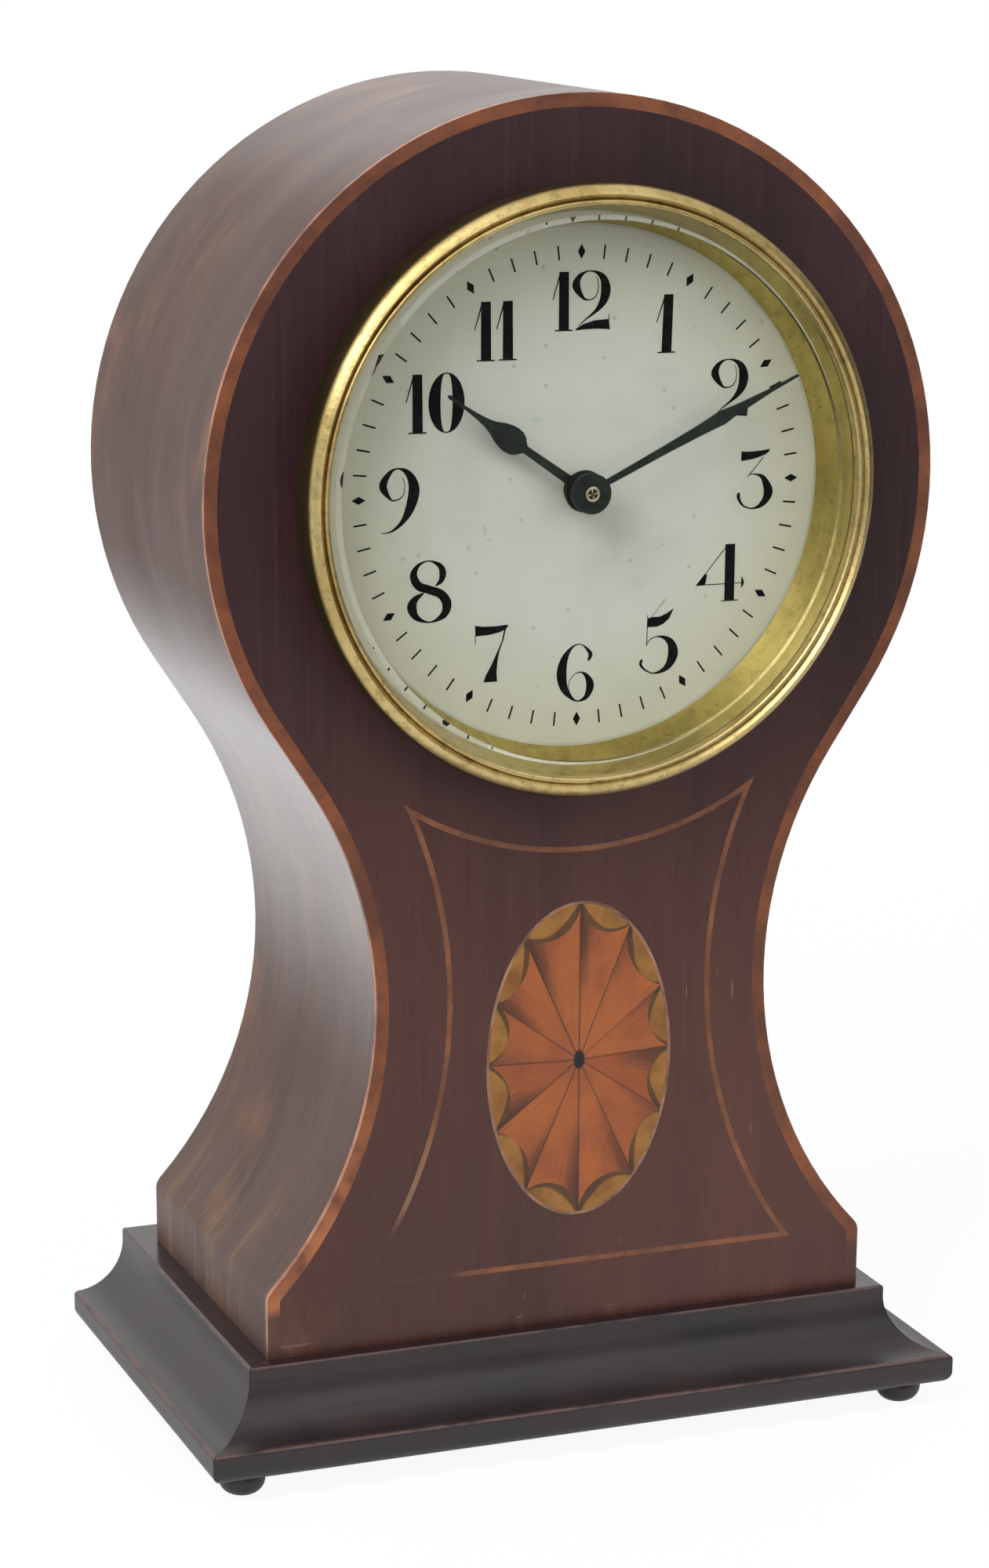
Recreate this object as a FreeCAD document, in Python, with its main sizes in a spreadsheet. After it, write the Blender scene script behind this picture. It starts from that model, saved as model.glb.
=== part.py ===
import FreeCAD, Part
import Sketcher
import math
import os
from types import SimpleNamespace
from FreeCAD import Placement, Rotation, Vector

# Inlaid balloon mantel clock with an eight-day spring movement.
# Row frame: millimetres, +Z up, the dial faces -Y, the origin is on the table below the middle of the plinth.

SIZES = {
    # plinth and feet
    "foot_height": 4.3,
    "foot_radius": 4.2,
    "foot_sole_radius": 2.6,
    "foot_inset": 7.5,
    "plinth_height": 17.5,
    "nosing_height": 5.7,
    "nosing_round": 2.4,
    "nosing_arris": 0.8,
    "nosing_overhang": 10.0,
    "plinth_lip": 2.0,
    "lip_round": 0.5,
    "front_overhang": 12.8,
    "plinth_margin": 4.4,
    "rear_margin": 9.0,
    "moulding_width": 22.0,
    "plinth_board_thickness": 8.0,
    "rear_rail_depth": 10.0,
    # wooden case
    "base_half_width": 57.95,
    "case_depth": 69.2,
    "lobe_radius": 67.2,
    "dial_height": 152.0,
    "waist_radius": 73.5,
    "lobe_drop": 1.2,
    "waist_straight": 12.91,
    "waist_half_width": 37.2,
    "shoulder_round": 3.2,
    "veneer": 0.8,
    "face_veneer": 1.2,
    "case_wall": 7.0,
    "front_board_thickness": 7.0,
    "back_board_thickness": 6.0,
    "floor_thickness": 8.0,
    "case_screw_radius": 1.7,
    "case_screw_length": 14.0,
    "case_screw_spread": 70.0,
    "case_screw_inset": 12.0,
    "front_hole_clearance": 0.3,
    "back_hole_clearance": 5.4,
    # inlay
    "edge_line_width": 2.3,
    "panel_line_width": 1.0,
    "panel_line_depth": 0.7,
    "panel_side_margin": 12.0,
    "panel_top_radius": 59.8,
    "panel_top_drop": 3.1,
    "panel_bottom_height": 11.2,
    "inlay_shift": 1.2,
    "patera_height": 49.8,
    "patera_half_width": 17.8,
    "patera_half_height": 29.3,
    "patera_line_width": 0.55,
    "lunette_depth": 4.3,
    # bezel, glass and dial
    "bezel_belly": 1.1,
    "bezel_wall": 1.4,
    "bezel_stand": 10.2,
    "bead_width": 0.8,
    "bezel_crest_width": 1.8,
    "bezel_groove_depth": 1.0,
    "bezel_lip_gap": 0.4,
    "bezel_flange": 0.8,
    "spigot_fit": 0.1,
    "spigot_wall": 0.6,
    "spigot_length": 11.0,
    "glass_lap": 1.0,
    "glass_front": 8.3,
    "glass_thickness": 2.0,
    "glass_bevel_width": 3.6,
    "glass_bevel_depth": 1.1,
    "sight_ring_taper": 3.8,
    "sight_ring_thickness": 0.5,
    "sight_ring_gap": 0.15,
    "dial_opening_radius": 44.7,
    "dial_lap": 1.5,
    "dial_setback": 0.9,
    "dial_thickness": 1.0,
    "dial_hole_radius": 2.9,
    "dial_foot_circle": 40.0,
    "dial_foot_radius": 0.9,
    "grub_screw_radius": 0.7,
    "grub_screw_length": 3.5,
    # hands
    "minute_hand_length": 43.0,
    "minute_hand_angle": 64.7,
    "hour_hand_length": 30.3,
    "hour_hand_angle": 304.6,
    "hand_thickness": 0.45,
    "boss_radius": 3.45,
    "boss_length": 3.1,
    "boss_front": 5.3,
    "boss_nose_length": 1.9,
    "hand_gap": 0.2,
    "hour_hub_radius": 3.6,
    "hour_pipe_radius": 2.2,
    "cannon_pipe_radius": 1.65,
    "arbor_nose_radius": 1.4,
    # movement frame
    "plate_radius": 36.0,
    "plate_thickness": 1.8,
    "front_plate_setback": 7.6,
    "plate_spacing": 22.0,
    "pillar_radius": 2.2,
    "pillar_circle": 33.0,
    "rivet_radius": 1.2,
    "stud_radius": 0.8,
    "frame_screw_radius": 1.0,
    "frame_screw_length": 6.0,
    "platform_thickness": 1.2,
    "drum_inset": 2.7,
    "drum_wall": 0.8,
    "post_radius": 1.9,
    "post_length": 26.0,
    "post_inset": 2.5,
    "clamp_screw_radius": 1.1,
    "clamp_screw_grip": 5.0,
    # rear ring and door
    "ring_lap": 3.6,
    "ring_thickness": 1.5,
    "door_inset": 5.5,
    "door_gap": 0.3,
    "door_thickness": 1.0,
    "ring_seat_width": 2.0,
    "ring_seat_depth": 0.8,
    "hinge_offset": 2.7,
    "door_strap_length": 9.0,
    "door_knob_inset": 7.2,
    "knob_stem_radius": 1.0,
    "knob_radius": 2.4,
    "hinge_pin_radius": 0.5,
    "knuckle_radius": 1.2,
    "knuckle_length": 5.0,
    # fits
    "running_fit": 0.05,
    "press_fit": 0.01,
    "glass_fit": 0.1,
}

# Tooth counts of the train, and the module of each mesh.
TEETH = {
    "great_wheel": 80, "intermediate_pinion": 12,
    "intermediate_wheel": 72, "centre_pinion": 12,
    "centre_wheel": 72, "third_pinion": 9,
    "third_wheel": 75, "fourth_pinion": 10,
    "fourth_wheel": 70, "escape_pinion": 7,
    "cannon_pinion": 12, "minute_wheel": 36,
    "minute_pinion": 10, "hour_wheel": 40,
    "ratchet_wheel": 20, "escape_wheel": 15,
}
SIZES.update({
    "great_module": 0.40,
    "intermediate_module": 0.34,
    "centre_module": 0.30,
    "third_module": 0.26,
    "fourth_module": 0.24,
    "cannon_module": 0.35,
    "tooth_fullness": 0.38,
    "tooth_tip": 0.75,
    "tooth_root": 1.1,
    "intermediate_direction": -41.1,
    "barrel_direction": -155.6,
    "third_direction": 125.2,
    "fourth_direction": 39.7,
    "escape_direction": 126.6,
    "lever_direction": -18.0,
    "lever_reach": 0.88,
    "balance_direction": -11.0,
    "balance_distance": 4.6,
    "minute_direction": -30.0,
    "click_direction": 75.0,
    "click_distance": 2.6,
    "click_gap": 0.15,
    "ratchet_radius": 6.0,
    "escape_radius": 3.4,
    "barrel_radius": 14.8,
    "barrel_height": 13.8,
    "barrel_wall": 1.0,
    "barrel_pivot_radius": 1.5,
    "barrel_bearing_radius": 2.0,
    "great_wheel_depth": 10.6,
    "great_wheel_thickness": 1.6,
    "wheel_thickness": 1.0,
    "arbor_radius": 1.0,
    "barrel_arbor_radius": 2.2,
    "pivot_radius": 0.6,
    "fine_pivot_radius": 0.25,
    "winding_square": 3.2,
    "winding_square_length": 12.0,
    "setting_knob_radius": 4.5,
    "setting_knob_depth": 42.0,
    "roller_radius": 1.3,
    "escape_cock_stand": 2.2,
    "balance_radius": 8.5,
    "balance_rim_width": 0.9,
    "hairspring_radius": 4.6,
    "hairspring_turns": 9,
    "mainspring_turns": 9,
    "mainspring_thickness": 0.45,
})

document = FreeCAD.newDocument("balloon_clock")
sheet = document.addObject("Spreadsheet::Sheet", "Sizes")
for row, (alias, number) in enumerate(SIZES.items(), start=1):
    sheet.set(f"A{row}", alias.replace("_", " "))
    sheet.set(f"B{row}", str(number))
    sheet.setAlias(f"B{row}", alias)
document.recompute()


class Size:
    """A length that carries both its number and its formula in the sheet."""

    def __init__(self, number, text):
        self.number = float(number)
        self.text = text

    def __float__(self):
        return self.number

    def __add__(self, other):
        other = as_size(other)
        return Size(self.number + other.number, f"({self.text} + {other.text})")

    def __sub__(self, other):
        other = as_size(other)
        return Size(self.number - other.number, f"({self.text} - {other.text})")

    def __mul__(self, other):
        other = as_size(other)
        return Size(self.number * other.number, f"({self.text} * {other.text})")

    def __truediv__(self, other):
        other = as_size(other)
        return Size(self.number / other.number, f"({self.text} / {other.text})")

    def __radd__(self, other):
        return as_size(other) + self

    def __rsub__(self, other):
        return as_size(other) - self

    def __rmul__(self, other):
        return as_size(other) * self

    def __neg__(self):
        return 0 - self


def as_size(value):
    return value if isinstance(value, Size) else Size(value, f"({value})")


s = SimpleNamespace(**{alias: Size(sheet.get(alias), f"Sizes.{alias}") for alias in SIZES})

# Places that several pieces share. Depths of the case run back from its face, whose own place is face_y.
s.half_depth = (s.front_overhang + s.case_depth + s.rear_margin) / 2
s.face_y = s.front_overhang - s.half_depth
s.plinth_top = s.foot_height + s.plinth_height
s.dial_z = s.plinth_top + s.dial_height
s.plinth_half_width = s.base_half_width + s.plinth_margin + s.nosing_overhang
s.front_plate_back = s.front_plate_setback + s.plate_thickness
s.back_plate_front = s.front_plate_back + s.plate_spacing
s.back_plate_back = s.back_plate_front + s.plate_thickness
# the dial's opening sets the dial, the plate behind it, the bezel round it and the hole for it
s.dial_radius = s.dial_opening_radius + s.dial_lap
s.front_plate_radius = s.dial_radius
s.spigot_radius = s.dial_radius + s.spigot_fit + s.spigot_wall
s.front_hole_radius = s.spigot_radius + s.front_hole_clearance
s.bezel_lip_radius = s.dial_opening_radius + s.sight_ring_taper
s.glass_radius = s.bezel_lip_radius + s.glass_lap
s.bezel_foot_radius = s.glass_radius + s.bezel_wall
s.bezel_radius = s.bezel_foot_radius + s.bezel_belly
s.post_circle = s.front_plate_radius - s.post_inset
s.drum_radius = s.post_circle - s.drum_inset
s.back_hole_radius = s.drum_radius + s.back_hole_clearance
s.ring_radius = s.back_hole_radius + s.ring_lap
s.door_radius = s.post_circle - s.door_inset
floor_front = s.face_y + s.face_veneer + s.front_board_thickness
floor_back = s.face_y + s.case_depth - s.back_board_thickness
# the same sizes as plain numbers
d = SimpleNamespace(**{alias: float(size) for alias, size in vars(s).items()})
# the waist's centre stands as low as the straight between the two arcs of the outline asks
waist_drop = (d.lobe_radius + d.waist_radius) ** 2 + d.waist_straight ** 2 - (d.waist_half_width + d.waist_radius) ** 2
d.lobe_height = d.dial_height - d.lobe_drop
d.waist_height = d.lobe_height - math.sqrt(waist_drop)
NODES = []


def new_body(label, x=0, y=0, z=0):
    """An empty body whose origin stands at a place given by sizes."""
    body = document.addObject("PartDesign::Body", label)
    body.Label = label
    for axis, place in (("x", x), ("y", y), ("z", z)):
        body.setExpression(f"Placement.Base.{axis}", as_size(place).text)
    NODES.append(body)
    return body


def sketch_on(body, plane, *outlines):
    """A sketch on one of the body's own planes. An outline is a Ring or a list of corners."""
    sketch = body.newObject("Sketcher::SketchObject", f"{body.Name}_outline")
    origin_plane = next(f for f in body.Origin.OriginFeatures if f.Role == plane)
    sketch.AttachmentSupport = [(origin_plane, "")]
    sketch.MapMode = "FlatFace"
    for outline in outlines:
        if isinstance(outline, Ring):
            add_circle(sketch, outline)
        else:
            add_corners(sketch, outline)
    sketch.Visibility = False
    return sketch


class Ring:
    """A circle in a sketch."""

    def __init__(self, radius, x=0, y=0):
        self.radius, self.x, self.y = as_size(radius), as_size(x), as_size(y)


def fix_point(sketch, edge, end, x, y):
    for kind, place in (("DistanceX", x), ("DistanceY", y)):
        number = sketch.addConstraint(Sketcher.Constraint(kind, -1, 1, edge, end, float(place)))
        sketch.setExpression(f"Constraints[{number}]", as_size(place).text)


def add_circle(sketch, ring):
    centre = Vector(float(ring.x), float(ring.y), 0)
    edge = sketch.addGeometry(Part.Circle(centre, Vector(0, 0, 1), float(ring.radius)))
    fix_point(sketch, edge, 3, ring.x, ring.y)
    number = sketch.addConstraint(Sketcher.Constraint("Radius", edge, float(ring.radius)))
    sketch.setExpression(f"Constraints[{number}]", ring.radius.text)


def add_corners(sketch, corners):
    first = sketch.GeometryCount
    points = [Vector(float(x), float(y), 0) for x, y in corners]
    for one, other in zip(points, points[1:] + points[:1]):
        sketch.addGeometry(Part.LineSegment(one, other))
    for number, (x, y) in enumerate(corners):
        following = first + (number + 1) % len(corners)
        sketch.addConstraint(Sketcher.Constraint("Coincident", first + number, 2, following, 1))
        fix_point(sketch, first + number, 1, x, y)


def pad(body, sketch, length, reverse=False):
    feature = body.newObject("PartDesign::Pad", f"{body.Name}_pad")
    feature.Profile = sketch
    feature.setExpression("Length", as_size(length).text)
    feature.Reversed = reverse
    return body


def turned(label, corners, x=0, y=0, z=0):
    """A turned piece with straight edges: corners are (radius, depth) about an axis that runs front to back."""
    body = new_body(label, x, y, z)
    sketch = sketch_on(body, "XY_Plane", corners)
    feature = body.newObject("PartDesign::Revolution", f"{body.Name}_turning")
    feature.Profile = sketch
    feature.ReferenceAxis = (sketch, ["V_Axis"])
    feature.Angle = 360
    return body


def tube(inner, outer, front, back):
    return [(inner, front), (outer, front), (outer, back), (inner, back)]


def plain_piece(label, shapes, x=0, y=0, z=0):
    """A piece whose solids are worked out directly from the sheet's sizes."""
    shapes = shapes if isinstance(shapes, list) else [shapes]
    solids = [solid for shape in shapes for solid in shape.Solids]
    feature = document.addObject("Part::Feature", label)
    feature.Label = label
    feature.Shape = solids[0] if len(solids) == 1 else Part.makeCompound(solids)
    feature.Placement = Placement(Vector(float(x), float(y), float(z)), Rotation()).multiply(feature.Placement)
    NODES.append(feature)
    return feature


# Plain geometry. A path is a start corner, then (end) for a line or (middle, end) for an arc.

def path_face(path, place):
    """A flat face inside a closed path. place turns a pair of numbers into a point."""
    edges = []
    corner = path[0]
    for step in path[1:]:
        points = [place(*pair) for pair in (corner, *step)]
        edges.append(Part.makeLine(*points) if len(points) == 2 else Part.Arc(*points).toShape())
        corner = step[-1]
    return Part.Face(Part.Wire(edges))


def upright(x, z):
    return Vector(x, 0, z)


def closed(*corners):
    return [corners[0]] + [(corner,) for corner in corners[1:]] + [(corners[0],)]


def slab(face, depth):
    """A face of the X-Z plane thickened towards the back."""
    return face.extrude(Vector(0, depth, 0))


def rod(radius, front, back, x=0.0, z=0.0):
    """A cylinder from one depth to another."""
    return Part.makeCylinder(radius, back - front, Vector(x, front, z), Vector(0, 1, 0))


def lathe(path):
    """A turned solid about the front-to-back axis, from a path of (radius, depth)."""
    face = path_face(path, lambda radius, depth: Vector(radius, depth, 0))
    return face.revolve(Vector(), Vector(0, 1, 0), 360)


def joined(shapes):
    whole = shapes[0].multiFuse(shapes[1:])
    return whole.removeSplitter()


# Outline of the case: upright base, hollow waist, round lobe. An offset moves it inward.

def half_outline(offset):
    """Right half, from the foot of the base up to the lobe: its start corner and its steps."""
    half_width = d.base_half_width - offset
    lobe = d.lobe_radius - offset
    waist = d.waist_radius + offset
    waist_x = d.waist_half_width + d.waist_radius
    rise = d.waist_height - d.lobe_height
    distance = math.hypot(waist_x, rise)
    # the straight that touches both arcs leaves the line of centres at this angle
    lean = math.atan2(rise, waist_x) + math.acos((lobe + waist) / distance)
    nx, nz = math.cos(lean), math.sin(lean)
    lobe_end = (lobe * nx, d.lobe_height + lobe * nz)
    waist_end = (waist_x - waist * nx, d.waist_height - waist * nz)
    waist_middle = (waist_x - waist, d.waist_height)
    radius = max(d.shoulder_round - offset, 0)
    centre_x = half_width - radius
    reach = waist + radius
    centre_z = d.waist_height - math.sqrt(reach ** 2 - (waist_x - centre_x) ** 2)
    if radius < 0.3:
        corner = [((half_width, centre_z),)]
    else:
        turn = math.atan2(d.waist_height - centre_z, waist_x - centre_x)
        middle = (centre_x + radius * math.cos(turn / 2), centre_z + radius * math.sin(turn / 2))
        end = (centre_x + radius * math.cos(turn), centre_z + radius * math.sin(turn))
        corner = [((half_width, centre_z),), (middle, end)]
    return (half_width, 0.0), corner + [(waist_middle, waist_end), (lobe_end,)]


def mirrored(point):
    return (-point[0], point[1])


def reversed_steps(start, steps):
    """The same run of steps, walked from its other end."""
    corners = [start] + [step[-1] for step in steps]
    walked = [(*steps[n][:-1], corners[n]) for n in range(len(steps) - 1, -1, -1)]
    return corners[-1], walked


def whole_outline(offset):
    """From the right foot of the outline over the top to the left foot."""
    start, steps = half_outline(offset)
    _, back = reversed_steps(start, steps)
    left = [tuple(mirrored(point) for point in step) for step in back]
    top = (0.0, d.lobe_height + d.lobe_radius - offset)
    return start, steps + [(top, mirrored(steps[-1][-1]))] + left


def filled_outline(offset):
    start, steps = whole_outline(offset)
    return path_face([start] + steps + [(start,)], upright)


def band_outline(outer, inner):
    """An open-footed band between two offsets of the case's outline."""
    start, steps = whole_outline(outer)
    left_foot, walked = reversed_steps(*whole_outline(inner))
    return path_face([start] + steps + [(left_foot,)] + walked + [(start,)], upright)


def disc(radius, height):
    return Part.Face(Part.Wire([Part.makeCircle(radius, Vector(0, 0, height), Vector(0, 1, 0))]))


SCREW_PLACES = [(side * s.case_screw_spread / 2, y) for side in (-1, 1)
                for y in (floor_front + s.case_screw_inset, floor_back - s.case_screw_inset)]


def screw_holes(front):
    """Round holes for the four screws, in a sketch seen from above whose origin lies at this depth."""
    return [Ring(s.case_screw_radius + s.press_fit, x, y - front) for x, y in SCREW_PLACES]


def wooden_case():
    length = d.case_depth - d.face_veneer
    front = d.face_y + d.face_veneer
    plain_piece("side_veneer", slab(band_outline(0, d.veneer), length), 0, front, d.plinth_top)
    plain_piece("case_shell", slab(band_outline(d.veneer, d.case_wall), length), 0, front, d.plinth_top)
    board = filled_outline(d.case_wall)
    opening = disc(d.front_hole_radius, d.dial_height)
    plain_piece("front_board", slab(board.cut(opening), d.front_board_thickness), 0, front, d.plinth_top)
    opening = disc(d.back_hole_radius, d.dial_height)
    plain_piece("back_board", slab(board.cut(opening), d.back_board_thickness),
                0, d.face_y + d.case_depth - d.back_board_thickness, d.plinth_top)
    plain_piece("edge_stringing", slab(band_outline(0, d.edge_line_width), d.face_veneer),
                0, d.face_y, d.plinth_top)
    # the floor reaches the shell's sides, or the inside of the waist's arc where that comes further in
    drop = d.waist_height - d.floor_thickness
    inside = d.waist_half_width + d.waist_radius - math.sqrt((d.waist_radius + d.case_wall) ** 2 - drop ** 2)
    half = s.base_half_width - s.case_wall
    half = half if float(half) < inside else as_size(inside)
    floor = new_body("case_floor", 0, floor_front, s.plinth_top)
    run = floor_back - floor_front
    corners = [(0 - half, 0), (half, 0), (half, run), (0 - half, run)]
    pad(floor, sketch_on(floor, "XY_Plane", corners, *screw_holes(floor_front)), s.floor_thickness)


# Inlay of the front

def panel_face(inset):
    """The stringing panel: a hollow top round the dial, two sides that follow the waist, a straight foot."""
    waist_x = d.waist_half_width + d.waist_radius
    side_radius = d.waist_radius + d.panel_side_margin + inset
    top_radius = d.panel_top_radius + inset
    foot = d.panel_bottom_height + inset
    low = (waist_x - math.sqrt(side_radius ** 2 - (d.waist_height - foot) ** 2), foot)
    # each side arc ends where its circle crosses the top arc's circle
    top_centre = d.dial_height - d.panel_top_drop
    rise = d.waist_height - top_centre
    distance = math.hypot(waist_x, rise)
    along = (top_radius ** 2 - side_radius ** 2 + distance ** 2) / (2 * distance)
    turn = math.atan2(rise, waist_x) - math.acos(along / top_radius)
    high = (top_radius * math.cos(turn), top_centre + top_radius * math.sin(turn))
    side_middle = (waist_x - side_radius, d.waist_height)
    top_middle = (0.0, top_centre - top_radius)
    path = [low, (side_middle, high), (top_middle, mirrored(high)),
            (mirrored(side_middle), mirrored(low)), (low,)]
    return path_face(path, upright)


def panel_strips():
    """The four strips of the panel's stringing, mitred at its corners."""
    outer = panel_face(0.0)
    ring = outer.cut(panel_face(d.panel_line_width))
    corners = [vertex.Point for vertex in outer.OuterWire.OrderedVertexes]
    middle = Vector(0, 0, d.patera_height)
    strips = []
    for one, other in zip(corners, corners[1:] + corners[:1]):
        far = [middle + (point - middle) * 1.5 for point in (one, other)]
        wedge = Part.Face(Part.makePolygon([middle, far[0], far[1], middle]))
        strips.append(slab(ring.common(wedge), d.panel_line_depth))
    return strips


def patera_point(angle, inset=0.0):
    """A point of the oval, clockwise from the top, moved inward along the oval's normal."""
    a, b = d.patera_half_width, d.patera_half_height
    nx, nz = math.sin(angle) / a, math.cos(angle) / b
    length = math.hypot(nx, nz)
    return Vector(a * math.sin(angle) - inset * nx / length, 0, b * math.cos(angle) - inset * nz / length)


def oval_face(inset):
    """The patera's oval, drawn in by an inset."""
    ellipse = Part.Ellipse(Vector(0, 0, d.patera_half_height - inset), Vector(d.patera_half_width - inset, 0, 0),
                           Vector())
    return Part.Face(Part.Wire([ellipse.toShape()]))


def scallop_middle(one, other):
    """The lowest point of the hollow end of a ray, kept inside the ray's own two sides."""
    chord = other - one
    steepest = min(chord.getAngle(-one), (-chord).getAngle(-other))
    sag = min(d.lunette_depth * 0.86, chord.Length / 2 * math.tan(0.46 * steepest))
    middle = (one + other) / 2
    inward = Vector(chord.z, 0, -chord.x).normalize()
    return middle + inward * (sag if inward.dot(middle) < 0 else -sag)


# Where each ray of the fan begins, in degrees clockwise from the top, as if the oval were a circle
RAY_STARTS = (0.0, 33.5, 64.5, 88.3, 112.5, 142.0, 179.5, 215.5, 245.5, 271.0, 293.8, 323.0)


def patera_pieces():
    """The fan patera: the rim line, the lunettes inside it and the shaded rays between them."""
    field = oval_face(d.patera_line_width)
    rim = oval_face(0.0).cut(field)
    rays, lunettes = [], []
    centre = Vector()
    for start, end in zip(RAY_STARTS, RAY_STARTS[1:] + RAY_STARTS[:1]):
        one = patera_point(math.radians(start), d.patera_line_width)
        other = patera_point(math.radians(end), d.patera_line_width)
        scallop = Part.Arc(one, scallop_middle(one, other), other).toShape()
        ray = Part.Face(Part.Wire([Part.makeLine(centre, one), scallop, Part.makeLine(other, centre)]))
        sector = Part.Face(Part.makePolygon([centre, one * 1.6, other * 1.6, centre]))
        rays.append(slab(ray, d.face_veneer))
        lunettes.append(slab(field.common(sector), d.face_veneer).cut(rays[-1]))
    return slab(rim, d.face_veneer), rays, lunettes


def inlay():
    strips = panel_strips()
    rim, rays, lunettes = patera_pieces()
    shift, oval_z = d.inlay_shift, d.plinth_top + d.patera_height
    plain_piece("panel_stringing", strips, shift, d.face_y, d.plinth_top)
    plain_piece("patera_rim", rim, shift, d.face_y, oval_z)
    plain_piece("patera_lunettes", lunettes, shift, d.face_y, oval_z)
    plain_piece("patera_rays", rays, shift, d.face_y, oval_z)
    # the face veneer fills what the stringing, the patera and the dial's opening leave
    veneer = slab(filled_outline(d.edge_line_width).cut(disc(d.front_hole_radius, d.dial_height)), d.face_veneer)
    groove = slab(panel_face(0.0).cut(panel_face(d.panel_line_width)), d.panel_line_depth)
    veneer = veneer.cut(groove.translated(Vector(shift, 0, 0)))
    oval = slab(oval_face(0.0), d.face_veneer).translated(Vector(shift, 0, d.patera_height))
    plain_piece("front_veneer", veneer.cut(oval), 0, d.face_y, d.plinth_top)


# Plinth

def moulding_path():
    """Section of the plinth moulding as (reach in from the nosing, height): nosing, hollow, lip and flat top."""
    diagonal = math.sqrt(0.5)
    top, nose, lip = d.plinth_height, d.nosing_height, d.plinth_height - d.plinth_lip
    run, rise = d.nosing_overhang - d.nosing_arris, lip - nose
    radius = (run ** 2 + rise ** 2) / (2 * run)
    centre = d.nosing_overhang - radius
    turn = math.asin(rise / radius) / 2
    round_middle = d.nosing_round * (1 - diagonal)
    arris_middle = d.nosing_arris * (1 - diagonal)
    lip_middle = d.lip_round * (1 - diagonal)
    return [
        (d.nosing_round, 0.0),
        ((round_middle, round_middle), (0.0, d.nosing_round)),
        ((0.0, nose - d.nosing_arris),),
        ((arris_middle, nose - arris_middle), (d.nosing_arris, nose)),
        ((centre + radius * math.cos(turn), lip - radius * math.sin(turn)), (d.nosing_overhang, lip)),
        ((d.nosing_overhang, top - d.lip_round),),
        ((d.nosing_overhang + lip_middle, top - lip_middle), (d.nosing_overhang + d.lip_round, top)),
        ((d.moulding_width, top),),
        ((d.moulding_width, 0.0),),
        ((d.nosing_round, 0.0),),
    ]


def plinth():
    width, half_width = d.moulding_width, d.plinth_half_width
    depth = 2 * d.half_depth
    path = moulding_path()
    front = path_face(path, lambda reach, height: Vector(-half_width, reach, height))
    front = front.extrude(Vector(2 * half_width, 0, 0))
    for side in (1, -1):
        tip = Vector(side * half_width, 0, 0)
        far = [tip + Vector(0, width + 1, 0), tip + Vector(-side * (width + 1), width + 1, 0)]
        corner = Part.Face(Part.makePolygon([tip, far[0], far[1], tip])).extrude(Vector(0, 0, d.plinth_height))
        front = front.cut(corner)
        far = [tip + Vector(-side * (width + 1), width + 1, 0), tip + Vector(-side * (width + 1), 0, 0)]
        corner = Part.Face(Part.makePolygon([tip, far[0], far[1], tip])).extrude(Vector(0, 0, d.plinth_height))
        run = path_face(path, lambda reach, height: Vector(side * (half_width - reach), 0, height))
        run = run.extrude(Vector(0, depth, 0)).cut(corner)
        name = "plinth_right_moulding" if side > 0 else "plinth_left_moulding"
        plain_piece(name, run, 0, -d.half_depth, d.foot_height)
    plain_piece("plinth_front_moulding", front, 0, -d.half_depth, d.foot_height)
    inner = s.plinth_half_width - s.moulding_width
    board_z = s.plinth_top - s.plinth_board_thickness
    board_front = s.moulding_width - s.half_depth
    board = new_body("plinth_board", 0, board_front, board_z)
    run = s.half_depth - board_front
    corners = [(0 - inner, 0), (inner, 0), (inner, run), (0 - inner, run)]
    pad(board, sketch_on(board, "XY_Plane", corners, *screw_holes(board_front)), s.plinth_board_thickness)
    rail = new_body("plinth_rear_rail", 0, s.half_depth - s.rear_rail_depth, s.foot_height)
    run = s.rear_rail_depth
    pad(rail, sketch_on(rail, "XY_Plane", [(0 - inner, 0), (inner, 0), (inner, run), (0 - inner, run)]),
        s.plinth_height - s.plinth_board_thickness)
    high, neck = d.foot_height, d.foot_radius * 0.86
    path = [(0.0, 0.0), ((d.foot_sole_radius, 0.0),), ((d.foot_radius, high * 0.55), (neck, high)), ((0.0, high),),
            ((0.0, 0.0),)]
    bun = path_face(path, upright).revolve(Vector(), Vector(0, 0, 1), 360)
    reach, run = d.plinth_half_width - d.foot_inset, d.half_depth - d.foot_inset
    feet = [bun.translated(Vector(side * reach, end * run, 0)) for side in (-1, 1) for end in (-1, 1)]
    plain_piece("feet", feet)


def plinth_screws():
    """Four round-headed screws that hold the case down on its plinth."""
    under = d.plinth_top - d.plinth_board_thickness
    shank = Part.makeCylinder(d.case_screw_radius, d.case_screw_length)
    head = Part.makeSphere(d.case_screw_radius * 2).common(
        Part.makeBox(20, 20, 10, Vector(-10, -10, -10)))
    head = head.cut(Part.makeBox(d.case_screw_radius * 5, 0.8, 1, Vector(-d.case_screw_radius * 2.5, -0.4, -4)))
    screw = joined([shank, head])
    plain_piece("plinth_screws", [screw.translated(Vector(float(x), float(y), 0)) for x, y in SCREW_PLACES],
                0, 0, under)


def at_dial(x=0.0, z=0.0):
    """Where a piece stands whose own origin is a point beside the dial's centre, on the case's face."""
    return x, s.face_y, s.dial_z + z


def around(radius, degrees):
    return radius * math.cos(math.radians(degrees)), radius * math.sin(math.radians(degrees))


# Bezel, glass and dial

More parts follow.
